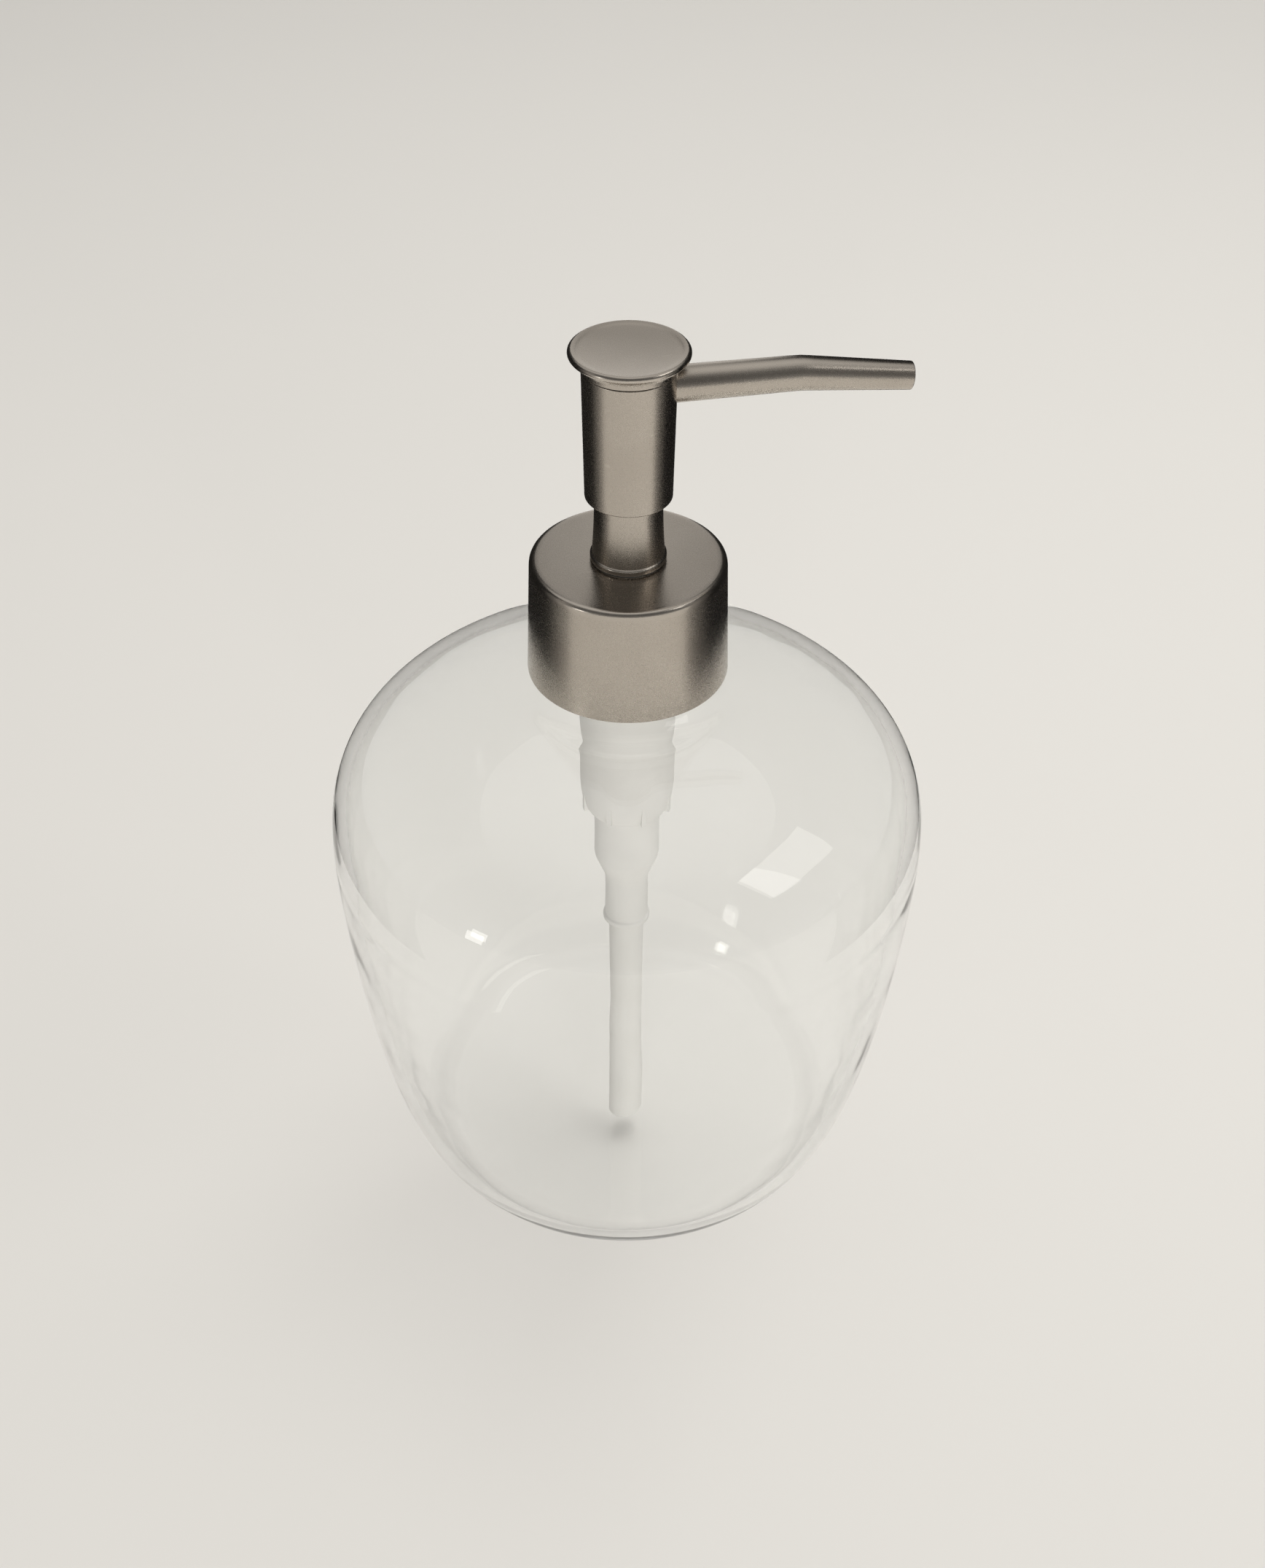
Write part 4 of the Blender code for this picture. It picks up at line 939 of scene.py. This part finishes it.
DRAFT_END = 0.0207
SWELL_STEPS = 12
SOCKET_GAP = 0.0003
VENT_RADIUS = 0.00075
VENT_HEIGHT = 0.1127
THIN_EDGE = 0.00015
SOFT_EDGE = 0.0004
CONE_EDGES = (0.0006, 0.0008)

swell = []
for step in range(SWELL_STEPS + 1):
    turn = math.pi / 2 * step / SWELL_STEPS
    radius = STEP_FOOT + (BELLY_RADIUS - STEP_FOOT) * math.cos(turn)
    swell.append((radius, STEP + BELLY_RISE * (1 - math.sin(turn))))
bead_low = SPIGOT_END + SPIGOT_BEAD_RISE * 0.2
bead_high = SPIGOT_END + SPIGOT_BEAD_RISE * 0.8
flange = [
    (FLANGE_RADIUS, FLANGE_TOP, INSERT_EDGE), (FLANGE_RADIUS, FLANGE_LOW, INSERT_EDGE),
    (HOUSING_RADIUS, FLANGE_LOW, SOFT_EDGE), (HOUSING_RADIUS + BARREL_DRAFT, STEP + DRAFT_END),
]
lower = [
    (*swell[-1], INSERT_EDGE), (LOWER_RADIUS, STEP, INSERT_EDGE),
    (LOWER_RADIUS, CONE, CONE_EDGES[0]), (SPIGOT_RADIUS, SPIGOT, CONE_EDGES[1]),
]
spigot = [
    (SPIGOT_RADIUS, SPIGOT_END + SPIGOT_BEAD_RISE, MOULD_EDGE),
    (SPIGOT_BEAD, bead_high, MOULD_EDGE), (SPIGOT_BEAD, bead_low, MOULD_EDGE),
    (SPIGOT_RADIUS, SPIGOT_END, THIN_EDGE), (TUBE_SOCKET, SPIGOT_END, THIN_EDGE),
]
bore = [
    (TUBE_SOCKET, SPIGOT - SOCKET_GAP), (SEAT_HOLE, SPIGOT - SOCKET_GAP), (SEAT_HOLE, SEAT_LOW),
    (LOWER_BORE, SEAT_HIGH), (LOWER_BORE, BORE_FLOOR - BORE_LEAD_IN), (HOUSING_BORE, BORE_FLOOR),
    (HOUSING_BORE, FLANGE_TOP, MOULD_EDGE),
]
housing_profile = rounded(flange + swell[:-1] + lower + spigot + bore)
housing = ring_stack("pump_housing_moulded", housing_profile, milky, 96)
vent_start, vent_end = (HOUSING_BORE - 0.001, 0, VENT_HEIGHT), (HOUSING_RADIUS + 0.001, 0, VENT_HEIGHT)
vent = drill("vent", milky, VENT_RADIUS, vent_start, vent_end, 24)
housing = cut_away(housing, vent)

# %% [markdown]
# ### Ribs round the step
# Short ribs stiffen the step. They repeat round the axis, so a small tree instances one
# rib, and its inputs give the count, the size and the first angle. An Array modifier
# round an empty would do it too, with those sizes in three places.

# %% The rib tree and its ribs
rib_inputs = {
    "Count": ("NodeSocketInt", 8),
    "Size": ("NodeSocketVector", (0.001, 0.0008, 0.0036)),
    "Place": ("NodeSocketVector", (0.0, 0.0, 0.0)),
    "First Angle": ("NodeSocketFloat", 0.0),
    "Finish": ("NodeSocketMaterial", None),
}
bench, given = geometry_tree("ribs round an axis", rib_inputs)
cube = bench.node("GeometryNodeMeshCube", None, {"Size": given["Size"]})
placed = bench.node("GeometryNodeTransform", None, {"Geometry": cube, "Translation": given["Place"]})
points = bench.node("GeometryNodePoints", None, {"Count": given["Count"], "Position": (0, 0, 0)})
angle = bench.node("GeometryNodeInputIndex") * math.tau / given["Count"] + given["First Angle"]
turned = bench.node("ShaderNodeCombineXYZ", None, {"Z": angle})
ribs = bench.node(
    "GeometryNodeInstanceOnPoints", None, {"Points": points, "Instance": placed, "Rotation": turned}
)
end_tree(bench, ribs, given["Finish"])
rib_tree = bench.tree

RIB_COUNT = 8
RIB_LOW = STEP + 0.0006
RIB_TOP = STEP + 0.0042
RIB_THICKNESS = 0.0008
RIB_SUNK = 0.00045
RIB_CLEAR = 0.0001
RIB_FIRST = math.radians(11)

rib_in = HOUSING_BORE + RIB_SUNK
rib_out = BELLY_RADIUS - RIB_CLEAR
ribs = tidy(grow(
    "ribs", rib_tree, Count=RIB_COUNT, Size=(rib_out - rib_in, RIB_THICKNESS, RIB_TOP - RIB_LOW),
    Place=((rib_in + rib_out) / 2, 0, (RIB_LOW + RIB_TOP) / 2), Finish=milky,
    **{"First Angle": RIB_FIRST},
))
housing = cut_away(housing, ribs, "UNION")
dress(housing, "pump_body", "natural_plastic", "housing")

# %% [markdown]
# ## The dip tube
# The tube is cut from a coil, so it keeps a slight curl, and its end is sliced at a
# slant so that it can't seal itself against the floor. A curve with a bevel depth
# would follow the curl, but not the slanted end. Here the blade's slant is added to the
# last rings: their arrows tip, and the rings stay closed.

# %% Dip tube
TUBE_RADIUS = 0.00305
TUBE_WALL = 0.00075
TUBE_TOP = 0.0589
TUBE_TIP = 0.0066
TUBE_LEAN = 0.0068
TUBE_LEAN_ANGLE = math.radians(-101)
TUBE_CUT = math.radians(12)
TUBE_CURL = 1.7
TUBE_STEPS = 40


def tube_spot(height):
    share = min(max((SPIGOT_END - height) / (SPIGOT_END - TUBE_TIP), 0.0), 1.0)
    lean = TUBE_LEAN * share**TUBE_CURL
    return Vector((lean * math.cos(TUBE_LEAN_ANGLE), lean * math.sin(TUBE_LEAN_ANGLE), height))


def tube_path(height):
    """The tube's axis at a height, with the arrows of a ring square to it."""
    along = (tube_spot(height - 0.0005) - tube_spot(height + 0.0005)).normalized()
    first = along.cross(Vector((0, 1, 0))).normalized()
    return tube_spot(height), first, along.cross(first)


def blade_cut(data, arrows, points):
    """Slants the rings at the tip, as a blade leaves them."""
    for index, point in enumerate(points):
        if point[1] < TUBE_TIP + 0.0003:
            for label in ("across", "upward"):
                arrows[label][3 * index + 2] += arrows[label][3 * index] * math.tan(TUBE_CUT)


stops = [TUBE_TOP + (TUBE_TIP - TUBE_TOP) * step / TUBE_STEPS for step in range(TUBE_STEPS + 1)]
tube_corners = [(TUBE_RADIUS, z) for z in stops] + [(TUBE_RADIUS - TUBE_WALL, z) for z in stops[::-1]]
tube_profile = [(r, z, 0.0) for r, z in tube_corners + tube_corners[:1]]
dip_tube = ring_stack("dip_tube_cut", tube_profile, tube_milky, 48, tube_path, cut=blade_cut)
dress(dip_tube, "pump_body", "tube_plastic", "dip_tube")

# %% [markdown]
# ## The works inside the pump
# A spring returns the rod, a ball closes the inlet, and the coil shortens as the head
# goes down. The spring is the coil tree again with closed end coils, which a curve
# would need hand-placed points for. The ball is a stack of rings like the rest, so that
# its poles are closed and even.

# %% Return spring and ball
SPRING_LOW = 0.071884
SPRING_HIGH = 0.0883
SPRING_RADIUS = 0.0037
WIRE = 0.0004

spring = tidy(grow(
    "return_spring_wound", coil_tree, Turns=6.5, Radius=SPRING_RADIUS, Low=SPRING_LOW + WIRE,
    High=SPRING_HIGH - WIRE, Depth=WIRE, Rings=420, Sides=12, Finish=steel,
    **{"End Rise": 2.3 * WIRE, "Half Width": WIRE, "Run Out": 0.02},
))
dress(spring, "pump_body", "spring_steel", "return_spring")
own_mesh(spring)

BALL_RADIUS = 0.0022
ball_low, ball_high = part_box("inlet_ball")
ball_middle = (ball_low.z + ball_high.z) / 2
BALL_STEPS = 32
arc = [math.pi * step / BALL_STEPS for step in range(BALL_STEPS + 1)]
ball_profile = []
for turn in arc:
    ball_profile.append((BALL_RADIUS * math.sin(turn), ball_middle - BALL_RADIUS * math.cos(turn), 0.0))
ball = ring_stack("inlet_ball_ground", ball_profile, steel, 48)
dress(ball, "check_ball", "spring_steel", "inlet_ball")

# %% [markdown]
# ## Pieces that stay as they were packed
# The remaining pieces sit inside the head and the housing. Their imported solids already
# have the right shape, so they keep it and only get their finishes.

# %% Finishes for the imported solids
kept = {
    "neck_gasket": rubber, "stem_seal": rubber, "piston": rubber, "chaplet": white, "stem": white,
    "actuator_core": white, "valve_rod": white, "ball_retainer": white,
}
for label, finish in kept.items():
    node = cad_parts[label]
    node.data.materials.clear()
    node.data.materials.append(finish)
print("packed solids kept:", sorted(kept))

# %% [markdown]
# ## Floor and cards
# The floor is a wide pale sheet. Blasted nickel shows only what it mirrors, so a bent
# card on each side of the bottle draws the dark bands that make it look round. A card
# goes from grey to black, so its band has one soft side. Flat cards would be simpler,
# but a bent one keeps one distance from the metal. Only reflections can see the cards.

# %% Floor and cards
AZIMUTH = math.radians(-11.0)
ELEVATION = math.radians(39.3)
CARD_AWAY = 0.14
CARD_STRIPS = 12
FLOOR_DROP = 0.0004
FLOOR_REACH = 3.0
# Name, degrees from the camera's side, lowest and highest edge, grey
CARDS = (
    ("card_pale", 66, 79, 0.0, 0.27, 0.30),
    ("card_grey", 79, 92, 0.0, 0.27, 0.12),
    ("card_black", 92, 168, 0.0, 0.27, 0.012),
)


def direction_to(turn, rise):
    """The arrow towards an azimuth and an elevation."""
    return Vector((math.sin(turn) * math.cos(rise), -math.cos(turn) * math.cos(rise), math.sin(rise)))


def sheet_object(name, corners, faces, material):
    data = bpy.data.meshes.new(name)
    data.from_pydata(corners, [], faces)
    made = bpy.data.objects.new(name, data)
    made.data.materials.append(material)
    bpy.context.scene.collection.objects.link(made)
    return made


paper, bench, shader = new_finish("pale_floor_paper", Roughness=0.9, Specular_IOR_Level=0.0)
tooth = noise(bench, 25, 2.0)
feed(bench, shader, "Base Color", mix(bench, tooth, (0.780, 0.764, 0.735, 1), (0.786, 0.770, 0.741, 1)))
quarter = ((-1, -1), (1, -1), (1, 1), (-1, 1))
floor_corners = [(FLOOR_REACH * x, FLOOR_REACH * y, -FLOOR_DROP) for x, y in quarter]
sheet_object("floor", floor_corners, [(0, 1, 2, 3)], paper)


def curved_card(name, start, end, low, high, grey):
    """A strip of bent card round the bottle, which only mirrors can see."""
    card_paint, bench, shader = new_finish(name, Roughness=1.0, Specular_IOR_Level=0.0)
    tone = mix(bench, noise(bench, 40), (grey, grey, grey, 1), (1.3 * grey, 1.25 * grey, 1.2 * grey, 1))
    feed(bench, shader, "Base Color", tone)
    corners = []
    for step in range(CARD_STRIPS + 1):
        turn = AZIMUTH + math.radians(start + (end - start) * step / CARD_STRIPS)
        spot = direction_to(turn, 0) * CARD_AWAY
        corners += [spot + Vector((0, 0, low)), spot + Vector((0, 0, high))]
    faces = [(2 * step, 2 * step + 2, 2 * step + 3, 2 * step + 1) for step in range(CARD_STRIPS)]
    card = sheet_object(name, corners, faces, card_paint)
    card.visible_camera = False
    card.visible_diffuse = False
    card.visible_shadow = False
    card.visible_transmission = False


for name, start, end, *rest in CARDS:
    curved_card(name + "_left", start, end, *rest)
    curved_card(name + "_right", -start, -end, *rest)
print("cards stand", CARD_AWAY * 1000, "mm from the axis")


# %% [markdown]
# ## Lights and sky
# The main light is a large softbox high behind the bottle, for an even floor and a
# faint shadow. A low fill in front lights the milky plastic. Two more boxes make the
# soft window marks on the glass. The sky has a ramp over its height on each side, and
# is brighter behind: a plain grey sky would be simpler, but it leaves the metal flat.


# %% Softboxes and the sky's ramps
def softbox(name, direction, distance, size, power, roll=0.0, aim=(0, 0, 0.08)):
    """An area light that faces the bottle. direction is (azimuth from the camera, elevation)."""
    turn = AZIMUTH + math.radians(direction[0])
    rise = math.radians(direction[1])
    back = direction_to(turn, rise)
    light = bpy.data.lights.new(name, "AREA")
    light.shape = "RECTANGLE"
    light.size, light.size_y = size
    light.energy = power
    light.color = (1.0, 0.985, 0.955)
    lamp = bpy.data.objects.new(name, light)
    bpy.context.scene.collection.objects.link(lamp)
    lamp.location = Vector(aim) + back * distance
    facing = back.to_track_quat("Z", "Y").to_matrix() @ Matrix.Rotation(math.radians(roll), 3, "Z")
    lamp.rotation_euler = facing.to_euler()
    return lamp


main_light = softbox("main_light", (147, 73), 1.04, (0.6, 0.6), 5.5)
main_light.visible_glossy = False
main_light.visible_transmission = False
fill = softbox("front_fill", (8, 14), 2.5, (1.8, 1.1), 32.0)
fill.visible_glossy = False
fill.visible_transmission = False
softbox("highlight_right", (83, 44), 1.0, (0.52, 0.36), 1.15, -14)
softbox("window_left", (-52, 4), 1.2, (0.14, 0.18), 0.4)

world = bpy.data.worlds.new("studio")
bpy.context.scene.world = world
world.use_nodes = True
sky = world.node_tree.nodes["Background"]
bench = Bench(world.node_tree)
direction = bench.node("ShaderNodeTexCoord", None, None, "Generated")
rise = bench.node("ShaderNodeSeparateXYZ", None, {0: direction}, "Z").most(0.0)
dot = {"operation": "DOT_PRODUCT"}
front = bench.node("ShaderNodeVectorMath", dot, {0: direction, 1: direction_to(AZIMUTH, 0)}, "Value")


def brightness(stops):
    """A ramp of greys over the height in the sky."""
    ramp = bench.node("ShaderNodeValToRGB", None, {0: rise})
    band = ramp.socket.node.color_ramp
    for place, level in stops[1:-1]:
        band.elements.new(place)
    for element, (place, level) in zip(band.elements, stops):
        element.position = place
        element.color = (level, level * 0.985, level * 0.955, 1)
    return ramp


behind = brightness([(0.0, 0.80), (0.24, 0.74), (0.47, 0.55), (0.67, 0.42), (0.93, 0.70), (1.0, 0.72)])
before = brightness([(0.0, 0.34), (0.17, 0.22), (0.45, 0.12), (0.80, 0.12), (0.93, 0.30), (1.0, 0.62)])
through_glass = bench.node("ShaderNodeLightPath", None, None, "Is Transmission Ray")
share = front.smooth(-0.35, 0.35) * (1 - through_glass * 0.35)
bench.tree.links.new(mix(bench, share, behind, before).socket, sky.inputs["Color"])
sky.inputs["Strength"].default_value = 1.0
# Rendered glass would throw a dark shadow and shade the pump inside it
bottle.visible_shadow = False
bottle.visible_diffuse = False
bpy.context.scene.view_settings.view_transform = "Standard"
print("lights:", sorted(light.name for light in bpy.data.lights))

# %% [markdown]
# ## Camera
# The camera is close and looks down at about forty degrees, so the bottle narrows
# towards its foot. An arrow back from the target places and turns it in one step, where
# a Track To constraint would keep working in other views.

# %% Camera
TARGET = Vector((0, 0, 0.0794))
DISTANCE = 0.376
SHIFT_RIGHT = 0.00094
ROLL = math.radians(0.44)
LENS = 50.2

back = direction_to(AZIMUTH, ELEVATION)
turn = back.to_track_quat("Z", "Y").to_matrix()
turn = turn @ Matrix.Rotation(ROLL, 3, "Z")
camera_data = bpy.data.cameras.new("camera")
camera_data.lens = LENS
camera_data.sensor_fit = "AUTO"
camera = bpy.data.objects.new("camera", camera_data)
bpy.context.scene.collection.objects.link(camera)
camera.location = TARGET + back * DISTANCE + turn.col[0] * SHIFT_RIGHT
camera.rotation_euler = turn.to_euler()
camera_data.clip_start = 0.01
camera_data.clip_end = 20
bpy.context.scene.camera = camera
print("camera is", round(DISTANCE * 1000), "mm from the bottle")
